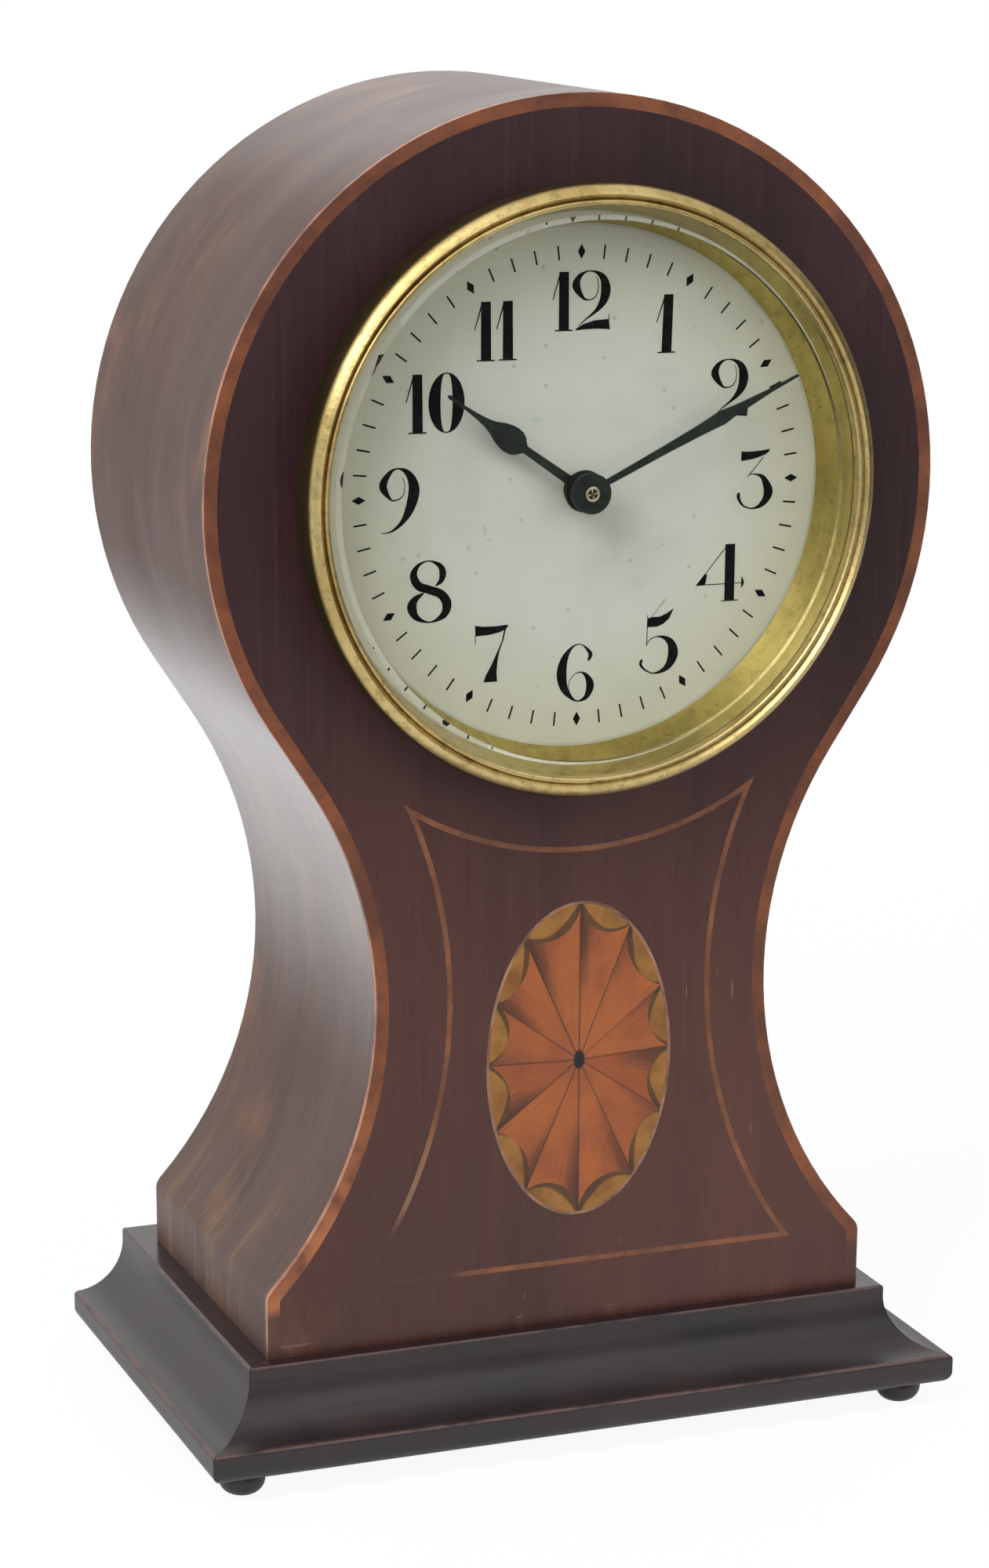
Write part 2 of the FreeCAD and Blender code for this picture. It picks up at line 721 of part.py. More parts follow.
def bezel_parts():
    seat = d.glass_radius + d.glass_fit
    spigot_inner = d.spigot_radius - d.spigot_wall
    glass_edge = d.glass_front - d.glass_bevel_depth
    lip_back = -(glass_edge + d.bezel_lip_gap)
    belly, foot = d.bezel_radius, d.bezel_foot_radius
    crest = -d.bezel_stand
    bead = d.bezel_lip_radius + d.bead_width
    path = [
        (spigot_inner, d.spigot_length),
        ((d.spigot_radius, d.spigot_length),),
        ((d.spigot_radius, 0.0),),
        ((foot, 0.0),),
        ((foot + 0.68 * (belly - foot), 0.33 * crest), (belly, 0.69 * crest)),
        ((belly - 0.4 * d.bezel_crest_width, 0.92 * crest), (belly - d.bezel_crest_width, crest)),
        ((bead, crest + d.bezel_groove_depth),),
        ((d.bezel_lip_radius + 0.5 * d.bead_width, crest + 0.25 * d.bezel_groove_depth),
         (d.bezel_lip_radius, crest + d.bezel_groove_depth)),
        ((d.bezel_lip_radius, lip_back),),
        ((seat, lip_back),),
        ((seat, -d.bezel_flange),),
        ((spigot_inner, -d.bezel_flange),),
        ((spigot_inner, d.spigot_length),),
    ]
    shape = lathe(path)
    middle = d.front_plate_setback + d.plate_thickness / 2
    pins, holes = [], []
    for degrees in (0, 120, 240):
        x, z = around(1.0, degrees)
        outward = Vector(x, 0, z)
        inner = outward * (d.spigot_radius - d.grub_screw_length) + Vector(0, middle, 0)
        holes.append(Part.makeCylinder(d.grub_screw_radius, d.grub_screw_length + 2, inner, outward))
        pins.append(Part.makeCylinder(d.grub_screw_radius, d.grub_screw_length - 0.1, inner, outward))
    for hole in holes:
        shape = shape.cut(hole)
    plain_piece("bezel", shape, *at_dial())
    plain_piece("bezel_screws", pins, *at_dial())
    edge = s.glass_bevel_depth - s.glass_front
    flat = s.glass_radius - s.glass_bevel_width
    back = s.glass_thickness - s.glass_front
    turned("glass", [(0, 0 - s.glass_front), (flat, 0 - s.glass_front), (s.glass_radius, edge), (s.glass_radius, back),
                     (0, back)], *at_dial())
    thick, low, high = s.sight_ring_thickness, s.dial_setback - s.sight_ring_gap, back + s.sight_ring_gap / 2
    mouth = s.bezel_lip_radius - s.sight_ring_thickness / 2
    turned("sight_ring", [(mouth, high), (s.glass_radius, high), (s.glass_radius, high + thick),
                          (mouth + thick, high + thick), (s.dial_opening_radius + thick, low),
                          (s.dial_opening_radius, low)], *at_dial())
    disc_shape = rod(d.dial_radius, d.dial_setback, d.dial_setback + d.dial_thickness)
    feet = []
    for degrees in (30, 150, 270):
        x, z = around(d.dial_foot_circle, degrees)
        feet.append(rod(d.dial_foot_radius, d.dial_setback + 0.5, float(s.front_plate_back) - 0.1, x, z))
    dial = joined([disc_shape] + feet).cut(rod(d.dial_hole_radius, 0, 5))
    plain_piece("dial", dial, *at_dial())
    return holes


# Hands. An edge is a list of (distance from the centre, half width), one for each side of the blade.

def hand(label, left, right, degrees, hub, bore, front):
    outline = [(-half, along) for along, half in left] + [(half, along) for along, half in reversed(right)]
    blade = slab(path_face(closed(*outline), upright), d.hand_thickness)
    shape = joined([blade, rod(hub, 0, d.hand_thickness)]).cut(rod(bore, -1, 2))
    shape.rotate(Vector(), Vector(0, 1, 0), degrees)
    plain_piece(label, shape.translated(Vector(0, front, 0)), *at_dial())


def hands():
    reach = d.minute_hand_length / 43.0
    left = [(0, 0.45), (16, 0.7), (22.7, 0.92), (27.3, 1.25), (30.7, 0.8), (37.3, 0.33), (42.8, 0.2), (43, 0.05)]
    right = [(0, 0.45), (16, 0.7), (22.7, 0.92), (27.3, 1.2), (30.1, 0.75), (31.6, 1.5), (32.1, 0.66), (37.3, 0.3),
             (42.8, 0.2), (43, 0.05)]
    left, right = ([(along * reach, half) for along, half in edge] for edge in (left, right))
    collar = d.boss_radius * 0.7
    hand("minute_hand", left, right, d.minute_hand_angle, d.boss_radius - 0.15, collar + d.press_fit,
         d.boss_length / 2 - d.boss_front)
    reach = d.hour_hand_length / 30.3
    edge = [(0, 0.87), (13.4, 0.66), (13.9, 1.1), (14.5, 1.75), (15.4, 2.2), (16.4, 2.33), (17.5, 2.22), (18.8, 1.85),
            (20.2, 1.2), (21.6, 0.78), (24, 0.45), (26.6, 0.28), (29.2, 0.3), (29.8, 0.36), (30.3, 0.12)]
    edge = [(along * reach, half) for along, half in edge]
    hand("hour_hand", edge, edge, d.hour_hand_angle, d.hour_hub_radius, d.hour_pipe_radius + d.press_fit,
         d.boss_length - d.boss_front + d.hand_gap)
    front, back = 0 - s.boss_front, s.boss_length - s.boss_front
    step = front + s.boss_length / 2
    nose, pipe = s.arbor_nose_radius + s.press_fit, s.cannon_pipe_radius + s.press_fit
    neck = front + s.boss_nose_length
    turned("hand_boss", [(nose, front), (s.boss_radius, front), (s.boss_radius, step), (s.boss_radius * 0.7, step),
                         (s.boss_radius * 0.7, back), (pipe, back), (pipe, neck), (nose, neck)], *at_dial())


# Wheels. Angles run from x towards z, and a phase is the angle at which one tooth points.

def gear_face(teeth, module, phase=0.0):
    """A wheel or pinion with straight-flanked teeth."""
    count = round(teeth)
    pitch = 2 * math.pi / count
    radius = module * teeth / 2
    root, tip = radius - d.tooth_root * module, radius + d.tooth_tip * module
    half = d.tooth_fullness * pitch / 2
    corners = []
    for number in range(count):
        middle = phase + number * pitch
        for reach, turn in ((root, -1.4), (tip, -0.5), (tip, 0.5), (root, 1.4)):
            angle = middle + turn * half
            corners.append((reach * math.cos(angle), reach * math.sin(angle)))
    return path_face(closed(*corners), upright)


def meshed(teeth, phase, direction, other_teeth):
    """The phase of a second wheel, whose centre lies in this direction, that puts its teeth in these gaps."""
    pitch, other_pitch = 2 * math.pi / teeth, 2 * math.pi / other_teeth
    lead = (phase - direction) % pitch
    return direction + math.pi - lead * teeth / other_teeth + other_pitch / 2


def windows(face, inner, outer, arms, half_arm):
    """Cuts the crossings of a wheel between its hub and its rim."""
    openings = disc(outer, 0).cut(disc(inner, 0))
    for number in range(arms):
        corners = closed((0, -half_arm), (outer + 1, -half_arm), (outer + 1, half_arm), (0, half_arm))
        arm = path_face(corners, upright)
        arm.rotate(Vector(), Vector(0, 1, 0), number * 360 / arms)
        openings = openings.cut(arm)
    return face.cut(openings)


def wheel(teeth, module, front, thickness, arms=4, hub=2.4, phase=0.0):
    face = gear_face(teeth, module, phase)
    rim = module * teeth / 2 - 2.6 * module - 0.5
    if arms:
        face = windows(face, hub, rim, arms, 0.5)
    return slab(face.translated(Vector(0, front, 0)), thickness)


def leaves(teeth, module, front, back, phase):
    return slab(gear_face(teeth, module, phase).translated(Vector(0, front, 0)), back - front)


def spiral(inner, outer, turns, thickness, front, back, start=0.0):
    """A flat wound spring made of half circles, from its inner end to its outer end."""
    step = (outer - inner) / turns / 2
    run, radius, side = [], inner, 1
    for number in range(2 * round(turns)):
        centre = 0.0 if side > 0 else step
        run.append((centre, radius, side))
        radius, side = radius + step, -side
    edges = []
    for offset in (-thickness / 2, thickness / 2):
        edges.append([Part.Arc(upright(centre + turn * (r + offset), 0), upright(centre, turn * (r + offset)),
                               upright(centre - turn * (r + offset), 0)).toShape() for centre, r, turn in run])
    ends = [Part.makeLine(upright(inner - thickness / 2, 0), upright(inner + thickness / 2, 0)),
            Part.makeLine(upright(outer - thickness / 2, 0), upright(outer + thickness / 2, 0))]
    face = Part.Face(Part.Wire(Part.__sortEdges__(edges[0] + edges[1] + ends)))
    face.rotate(Vector(), Vector(0, 1, 0), -start)
    return slab(face.translated(Vector(0, front, 0)), back - front)


# Places of the arbors, from the dial's centre

def beyond(place, degrees, distance):
    x, z = around(distance, degrees)
    return place[0] + x, place[1] + z


def mesh_distance(one, other, module):
    return (TEETH[one] + TEETH[other]) * module / 2


CENTRE = (0.0, 0.0)
INTERMEDIATE = beyond(CENTRE, d.intermediate_direction,
                      mesh_distance("intermediate_wheel", "centre_pinion", d.intermediate_module))
BARREL = beyond(INTERMEDIATE, d.barrel_direction, mesh_distance("great_wheel", "intermediate_pinion", d.great_module))
THIRD = beyond(CENTRE, d.third_direction, mesh_distance("centre_wheel", "third_pinion", d.centre_module))
FOURTH = beyond(THIRD, d.fourth_direction, mesh_distance("third_wheel", "fourth_pinion", d.third_module))
ESCAPE = beyond(FOURTH, d.escape_direction, mesh_distance("fourth_wheel", "escape_pinion", d.fourth_module))
LEVER = beyond(ESCAPE, d.lever_direction, d.escape_radius + d.lever_reach)
BALANCE = beyond(LEVER, d.balance_direction, d.balance_distance)
MINUTE = beyond(CENTRE, d.minute_direction, mesh_distance("cannon_pinion", "minute_wheel", d.cannon_module))
CLICK = beyond(BARREL, d.click_direction, d.ratchet_radius + d.click_distance)
HOUR_MODULE = 2 * math.hypot(*MINUTE) / (TEETH["hour_wheel"] + TEETH["minute_pinion"])
PILLARS = [around(d.pillar_circle, degrees) for degrees in (45, 135, 200, 320)]
POSTS = [around(d.post_circle, degrees) for degrees in (90, 270)]
PLATFORM_SCREWS = [(BALANCE[0] + 8.4, BALANCE[1] + 6.8), (ESCAPE[0] - 3.4, ESCAPE[1] - 8.2)]
SPRING_FOOT = beyond(BARREL, d.click_direction - 81, d.ratchet_radius + 5.4)


def movement_frame(grub_holes):
    front, back = d.front_plate_setback, float(s.front_plate_back)
    rear, rear_back = float(s.back_plate_front), float(s.back_plate_back)
    pivot = d.pivot_radius + d.running_fit
    plate = rod(d.front_plate_radius, front, back)
    holes = [(CENTRE, d.arbor_radius + d.running_fit), (BARREL, d.barrel_pivot_radius + d.running_fit),
             (INTERMEDIATE, pivot), (THIRD, pivot), (FOURTH, pivot), (ESCAPE, d.fine_pivot_radius + d.running_fit)]
    holes += [(place, d.rivet_radius + d.press_fit) for place in PILLARS + POSTS]
    holes += [(around(d.dial_foot_circle, degrees), d.dial_foot_radius + d.press_fit) for degrees in (30, 150, 270)]
    for (x, z), radius in holes:
        plate = plate.cut(rod(radius, front - 1, back + 1, x, z))
    for hole in grub_holes:
        plate = plate.cut(hole)
    stud = rod(d.stud_radius, d.dial_setback + d.dial_thickness + 0.2, front + 0.5, *MINUTE)
    plain_piece("front_plate", joined([plate, stud]), *at_dial())

    body = new_body("back_plate", 0, s.face_y + s.back_plate_front, s.dial_z)
    rings = [Ring(s.plate_radius), Ring(s.arbor_radius + s.running_fit)]
    bearing = s.pivot_radius + s.running_fit
    rings += [Ring(bearing, *place) for place in (INTERMEDIATE, THIRD, FOURTH, CLICK)]
    rings += [Ring(s.barrel_bearing_radius + s.running_fit, *BARREL), Ring(s.pillar_radius * 0.75, *ESCAPE)]
    rings += [Ring(s.frame_screw_radius + s.press_fit, *place) for place in PILLARS + PLATFORM_SCREWS]
    rings += [Ring(s.fine_pivot_radius + s.press_fit, *SPRING_FOOT)]
    pad(body, sketch_on(body, "XZ_Plane", *rings), s.plate_thickness, reverse=True)

    pillars, screws = [], []
    screw = joined([rod(d.frame_screw_radius, -d.frame_screw_length, 0), rod(d.frame_screw_radius * 2, 0, 1.2)])
    screw = screw.cut(Part.makeBox(6, 0.6, 0.7, Vector(-3, 0.7, -0.35)))
    for x, z in PILLARS:
        pillar = joined([rod(d.pillar_radius, back, rear, x, z), rod(d.rivet_radius, front, back + 0.5, x, z)])
        pillars.append(pillar.cut(rod(d.frame_screw_radius + d.press_fit, rear_back - d.frame_screw_length - 0.5,
                                      rear + 1, x, z)))
        screws.append(screw.translated(Vector(x, rear_back, z)))
    for x, z in PLATFORM_SCREWS:
        screws.append(screw.translated(Vector(x, rear_back + d.platform_thickness, z)))
    plain_piece("plate_pillars", pillars, *at_dial())
    plain_piece("frame_screws", screws, *at_dial())

    drum_back = s.case_depth
    turned("movement_drum", tube(s.drum_radius - s.drum_wall, s.drum_radius, s.front_plate_back, drum_back), *at_dial())
    posts, screws = [], []
    end = d.case_depth + d.ring_thickness
    post_end = back + d.post_length
    screw_tip = post_end - d.clamp_screw_grip
    for x, z in POSTS:
        post = joined([rod(d.post_radius, back, post_end, x, z), rod(d.rivet_radius, front, back + 0.5, x, z)])
        posts.append(post.cut(rod(d.clamp_screw_radius + d.press_fit, screw_tip - 0.5, post_end + 1, x, z)))
        screw = joined([rod(d.clamp_screw_radius, screw_tip, end, x, z),
                        rod(d.clamp_screw_radius * 2, end, end + 1.3, x, z)])
        screws.append(screw.cut(Part.makeBox(6, 0.7, 0.8, Vector(x - 3, end + 0.8, z - 0.4))))
    plain_piece("clamp_posts", posts, *at_dial())
    plain_piece("clamp_screws", screws, *at_dial())


def rear_door():
    """The brass ring at the back, its glass-free round door, the hinge and the knob."""
    front = d.case_depth
    back = front + d.ring_thickness
    opening = d.door_radius + d.door_gap
    seat = back - d.ring_seat_depth
    axis_x, axis_y = -(opening + d.hinge_offset), back + d.knuckle_radius + 0.1
    radius, length = d.knuckle_radius, d.knuckle_length
    ring = lathe([(d.ring_radius, front), ((d.ring_radius, back),), ((opening, back),), ((opening, seat),),
                  ((opening - d.ring_seat_width, seat),), ((opening - d.ring_seat_width, front),),
                  ((d.ring_radius, front),)])
    pieces = [ring]
    pin_hole = Part.makeCylinder(d.hinge_pin_radius, 6 * length, Vector(axis_x, axis_y, -3 * length))
    for side in (-1, 1):
        low = side * (length / 2 + 0.15) if side > 0 else -(length / 2 + 0.15) - length
        knuckle = Part.makeCylinder(radius, length, Vector(axis_x, axis_y, low))
        leaf = Part.makeBox(4.2, axis_y - back, length, Vector(axis_x - 4.2, back, low))
        pieces.append(joined([knuckle, leaf]))
    ring = joined(pieces).cut(pin_hole)
    for x, z in POSTS:
        ring = ring.cut(rod(d.clamp_screw_radius + d.press_fit, front - 1, back + 1, x, z))
    plain_piece("rear_ring", ring, *at_dial())
    door_front = seat + 0.1
    door_back = door_front + d.door_thickness
    knuckle = Part.makeCylinder(radius, length, Vector(axis_x, axis_y, -length / 2))
    strap = Part.makeBox(d.door_strap_length, 0.9, length, Vector(axis_x, axis_y - 0.45, -length / 2))
    heel_x = axis_x + d.hinge_offset + d.door_gap + 1.0
    heel = Part.makeBox(axis_x + d.door_strap_length - heel_x, axis_y - door_back, length,
                        Vector(heel_x, door_back, -length / 2))
    hole = Part.makeCylinder(d.hinge_pin_radius + d.running_fit, 6 * length, Vector(axis_x, axis_y, -3 * length))
    knob_x = d.door_radius - d.door_knob_inset
    door = joined([rod(d.door_radius, door_front, door_back), knuckle, strap, heel]).cut(hole)
    plain_piece("rear_door", door.cut(rod(d.knob_stem_radius + d.press_fit, 0, 2 * d.case_depth, knob_x, 0)), *at_dial())
    plain_piece("door_hinge_pin", Part.makeCylinder(d.hinge_pin_radius, 3 * length + 1.6,
                                                    Vector(axis_x, axis_y, -1.5 * length - 0.8)), *at_dial())
    stem, ball = d.knob_stem_radius, d.knob_radius
    knob = lathe([(0.0, door_front), ((stem, door_front),), ((stem, door_back),), ((stem * 1.6, door_back),),
                  ((stem * 1.1, door_back + 1.2), (stem * 1.3, door_back + 2.0)),
                  ((ball, door_back + 2.0 + ball * 0.75), (stem * 0.6, door_back + 2.0 + ball * 1.5)),
                  ((0.0, door_back + 2.0 + ball * 1.5),), ((0.0, door_front),)])
    plain_piece("door_knob", knob, knob_x, s.face_y, s.dial_z)


def motion_work():
    """The hand arbor with its cannon pinion, the minute wheel, the hour wheel and the knob that sets the hands."""
    nose = -(d.boss_front + 0.15)
    neck = d.boss_nose_length - d.boss_front
    direction = math.atan2(MINUTE[1], MINUTE[0])
    cannon = leaves(TEETH["cannon_pinion"], d.cannon_module, 4.0, 6.2, 0.0)
    arbor = joined([rod(d.arbor_nose_radius, nose, neck), rod(d.cannon_pipe_radius, neck, 6.4), cannon,
                    rod(d.arbor_radius, 6.4, d.setting_knob_depth + 3.9)])
    plain_piece("centre_arbor", arbor, *at_dial())
    knob = leaves(24, d.setting_knob_radius / 12.8, d.setting_knob_depth, d.setting_knob_depth + 4.0, 0.0)
    plain_piece("setting_knob", knob.cut(rod(d.arbor_radius + d.press_fit, 0, 80)), *at_dial())
    phase = meshed(TEETH["cannon_pinion"], 0.0, direction, TEETH["minute_wheel"])
    minute = joined([wheel(TEETH["minute_wheel"], d.cannon_module, 4.4, 0.8, phase=phase),
                     leaves(TEETH["minute_pinion"], HOUR_MODULE, 2.3, 4.0, 0.0), rod(1.6, 4.0, 5.5)])
    plain_piece("minute_wheel", minute.cut(rod(d.stud_radius + d.running_fit, 0, 9)), *at_dial(*MINUTE))
    phase = meshed(TEETH["minute_pinion"], 0.0, direction + math.pi, TEETH["hour_wheel"])
    pipe_front = d.boss_length - d.boss_front + d.hand_gap
    hour = joined([wheel(TEETH["hour_wheel"], HOUR_MODULE, 2.4, 0.8, hub=3.0, phase=phase),
                   rod(d.hour_pipe_radius, pipe_front, 3.2)])
    plain_piece("hour_wheel", hour.cut(rod(d.cannon_pipe_radius + d.running_fit, -9, 9)), *at_dial())


def staff(radius, front, back, pivot, pivot_front, pivot_back):
    return [rod(radius, front, back), rod(pivot, pivot_front, pivot_back)]


def going_train():
    front, rear = float(s.front_plate_back), float(s.back_plate_front)
    ends = (front + 0.3, rear - 0.3, d.pivot_radius, front - 1.6, rear + 1.6)
    great_back = d.great_wheel_depth + d.great_wheel_thickness
    cup_back = great_back + d.barrel_height
    bore = rod(d.barrel_arbor_radius + d.running_fit, 0, d.case_depth)
    outer, inner = d.barrel_radius, d.barrel_radius - d.barrel_wall
    cup = lathe([(0.0, great_back), ((outer, great_back),), ((outer, cup_back),), ((inner, cup_back),),
                 ((inner, great_back + 1.2),), ((0.0, great_back + 1.2),), ((0.0, great_back),)])
    great = wheel(TEETH["great_wheel"], d.great_module, d.great_wheel_depth, d.great_wheel_thickness, arms=0)
    plain_piece("barrel", joined([great, cup]).cut(bore), *at_dial(*BARREL))
    hole = s.barrel_arbor_radius + s.running_fit
    step = s.great_wheel_depth + s.great_wheel_thickness + s.barrel_height
    turned("barrel_cover", [(hole, step - 0.5), (s.barrel_radius - s.barrel_wall - s.press_fit, step - 0.5),
                            (s.barrel_radius - s.barrel_wall - s.press_fit, step), (s.barrel_radius, step),
                            (s.barrel_radius, step + 0.9), (hole, step + 0.9)], *at_dial(*BARREL))
    coil = spiral(d.barrel_arbor_radius * 1.9, inner - d.mainspring_thickness / 2 - 0.05, int(d.mainspring_turns),
                  d.mainspring_thickness, great_back + 1.6, cup_back - 0.9)
    plain_piece("mainspring", coil, *at_dial(*BARREL))
    square_front = float(s.back_plate_back) + 0.3
    half = d.winding_square / 2
    square = Part.makeBox(2 * half, d.winding_square_length, 2 * half, Vector(-half, square_front, -half))
    square = square.common(rod(d.barrel_bearing_radius, square_front, square_front + d.winding_square_length))
    arbor = joined([rod(d.barrel_arbor_radius, front + 0.1, rear - 0.1), rod(d.barrel_pivot_radius, front - 1.7, front + 1),
                    rod(d.barrel_bearing_radius, rear - 1, square_front), square])
    plain_piece("barrel_arbor", arbor, *at_dial(*BARREL))
    saw = []
    pitch = 2 * math.pi / TEETH["ratchet_wheel"]
    for number in range(round(TEETH["ratchet_wheel"])):
        for reach, turn in ((d.ratchet_radius, 0.0), (d.ratchet_radius * 0.86, 0.05)):
            angle = (number + turn) * pitch
            saw.append((reach * math.cos(angle), reach * math.sin(angle)))
    ratchet = slab(path_face(closed(*saw), upright).translated(Vector(0, square_front + 0.1, 0)), 1.2)
    plain_piece("ratchet_wheel", ratchet.cut(square), *at_dial(*BARREL))

    drive = math.atan2(INTERMEDIATE[1] - BARREL[1], INTERMEDIATE[0] - BARREL[0])
    phase = meshed(TEETH["great_wheel"], 0.0, drive, TEETH["intermediate_pinion"])
    second = joined(staff(d.arbor_radius, *ends)
                    + [leaves(TEETH["intermediate_pinion"], d.great_module, great_back - 1.8, great_back + 0.4, phase),
                       wheel(TEETH["intermediate_wheel"], d.intermediate_module, 27.5, d.wheel_thickness, arms=5)])
    plain_piece("intermediate_wheel", second, *at_dial(*INTERMEDIATE))

    drive = math.atan2(-INTERMEDIATE[1], -INTERMEDIATE[0])
    phase = meshed(TEETH["intermediate_wheel"], 0.0, drive, TEETH["centre_pinion"])
    centre = joined([rod(d.arbor_radius + 0.5, 26.6, rear - 0.2),
                     leaves(TEETH["centre_pinion"], d.intermediate_module, 27.3, 28.9, phase),
                     wheel(TEETH["centre_wheel"], d.centre_module, 29.4, d.wheel_thickness)])
    plain_piece("centre_wheel", centre.cut(rod(d.arbor_radius + d.running_fit, 0, d.case_depth)), *at_dial())

    phase = meshed(TEETH["centre_wheel"], 0.0, math.atan2(THIRD[1], THIRD[0]), TEETH["third_pinion"])
    third = joined(staff(d.arbor_radius * 0.9, *ends)
                   + [leaves(TEETH["third_pinion"], d.centre_module, 29.2, 30.9, phase),
                      wheel(TEETH["third_wheel"], d.third_module, 22.0, d.wheel_thickness)])
    plain_piece("third_wheel", third, *at_dial(*THIRD))

    drive = math.atan2(FOURTH[1] - THIRD[1], FOURTH[0] - THIRD[0])
    phase = meshed(TEETH["third_wheel"], 0.0, drive, TEETH["fourth_pinion"])
    fourth = joined(staff(d.arbor_radius * 0.9, *ends)
                    + [leaves(TEETH["fourth_pinion"], d.third_module, 21.8, 23.2, phase),
                       wheel(TEETH["fourth_wheel"], d.fourth_module, 26.4, 0.8)])
    plain_piece("fourth_wheel", fourth, *at_dial(*FOURTH))


def escapement():
    """The lever platform on the back plate: escape wheel, lever, balance, their cocks and the regulator."""
    front, base = float(s.front_plate_back), float(s.back_plate_back)
    top = base + d.platform_thickness
    fine = d.fine_pivot_radius
    wheel_front = top + 0.8
    cock_front = top + d.escape_cock_stand
    rim_front = cock_front + 1.4
    cock_back = rim_front + 3.0

    low_x, high_x = ESCAPE[0] - 5.0, BALANCE[0] + 10.4
    low_z, high_z = ESCAPE[1] - 9.9, ESCAPE[1] + 6.6
    plate = Part.makeBox(high_x - low_x, d.platform_thickness, high_z - low_z, Vector(low_x, base, low_z))
    for (x, z), radius in ((ESCAPE, 1.2), (LEVER, fine + d.running_fit), (BALANCE, fine + d.running_fit),
                           (PLATFORM_SCREWS[0], d.frame_screw_radius + d.press_fit),
                           (PLATFORM_SCREWS[1], d.frame_screw_radius + d.press_fit)):
        plate = plate.cut(rod(radius, base - 1, top + 1, x, z))
    plain_piece("platform", plate, *at_dial())

    drive = math.atan2(ESCAPE[1] - FOURTH[1], ESCAPE[0] - FOURTH[0])
    phase = meshed(TEETH["fourth_wheel"], 0.0, drive, TEETH["escape_pinion"])
    saw = []
    pitch = 2 * math.pi / TEETH["escape_wheel"]
    for number in range(round(TEETH["escape_wheel"])):
        for reach, turn in ((0.74, -0.32), (1.0, 0.0), (1.0, 0.16), (0.74, 0.22)):
            angle = (number + turn) * pitch
            saw.append((d.escape_radius * reach * math.cos(angle), d.escape_radius * reach * math.sin(angle)))
    blank = windows(path_face(closed(*saw), upright), 1.0, d.escape_radius * 0.6, 4, 0.25)
    parts = staff(0.55, front + 0.3, cock_front - 0.1, fine, front - 1.6, cock_front + 0.9)
    parts += [leaves(TEETH["escape_pinion"], d.fourth_module, 26.2, 27.4, phase), rod(1.0, wheel_front - 0.4, wheel_front),
              slab(blank.translated(Vector(0, wheel_front, 0)), 0.5)]
    plain_piece("escape_wheel", joined(parts), *at_dial(*ESCAPE))

    # the lever is an arc of steel round the escape wheel, with a forked arm towards the balance
    ring = disc(d.lever_reach + d.escape_radius + 0.42, 0).cut(disc(d.lever_reach + d.escape_radius - 0.42, 0))
    wedge = path_face(closed((0, 0), around(12, d.lever_direction - 38), around(12, d.lever_direction + 38)), upright)
    shift = Vector(ESCAPE[0] - LEVER[0], wheel_front - 0.1, ESCAPE[1] - LEVER[1])
    anchor = slab(ring.common(wedge).translated(shift), 0.7)
    reach = d.balance_distance - d.roller_radius - 0.3
    arm = path_face(closed((0, -0.35), (reach - 0.8, -0.35), (reach - 0.8, -0.6), (reach, -0.6), (reach, -0.25),
                           (reach - 0.5, -0.2), (reach - 0.5, 0.2), (reach, 0.25), (reach, 0.6), (reach - 0.8, 0.6),
                           (reach - 0.8, 0.35), (0, 0.35)), upright)
    arm.rotate(Vector(), Vector(0, 1, 0), -d.balance_direction)
    arm = slab(arm.translated(Vector(0, wheel_front - 0.1, 0)), 0.7)
    lever = joined([anchor, arm, rod(0.65, wheel_front - 0.1, wheel_front + 0.6), rod(0.4, top + 0.2, cock_front - 0.1),
                    rod(fine, base + 0.1, cock_front + 0.9)])
    plain_piece("pallet_lever", lever, *at_dial(*LEVER))

    # the cock over the escape wheel stands on two feet above and below it
    x, z = ESCAPE
    foot_low, foot_high = (x, z - 7.2), (x, z + 5.2)
    bar = Part.makeBox(2.8, 1.0, 14.9, Vector(x - 1.4, cock_front, z - 8.6))
    ear = rod(1.1, cock_front, cock_front + 1.0, *LEVER)
    bridge = Part.makeBox(LEVER[0] - x, 1.0, 2.0, Vector(x, cock_front, LEVER[1] - 1.0))
    cock = joined([bar, ear, bridge, rod(1.2, top, cock_front + 0.5, *foot_low),
                   rod(1.2, top, cock_front + 0.5, *foot_high)])
    for place in (ESCAPE, LEVER):
        cock = cock.cut(rod(fine + d.running_fit, cock_front - 1, cock_front + 2, *place))
    plain_piece("escape_cock", cock, *at_dial())

    outer, inner = d.balance_radius, d.balance_radius - d.balance_rim_width
    rim = windows(disc(outer, 0), 1.3, inner, 3, 0.45)
    balance = joined([slab(rim.translated(Vector(0, rim_front, 0)), 1.2), rod(0.5, top + 0.2, cock_back - 0.1),
                      rod(fine, base + 0.1, cock_back + 1.2), rod(d.roller_radius - 0.2, cock_front, cock_front + 0.6),
                      rod(0.15, wheel_front + 0.2, cock_front + 0.3, d.roller_radius - 0.45, 0)])
    plain_piece("balance_wheel", balance, *at_dial(*BALANCE))

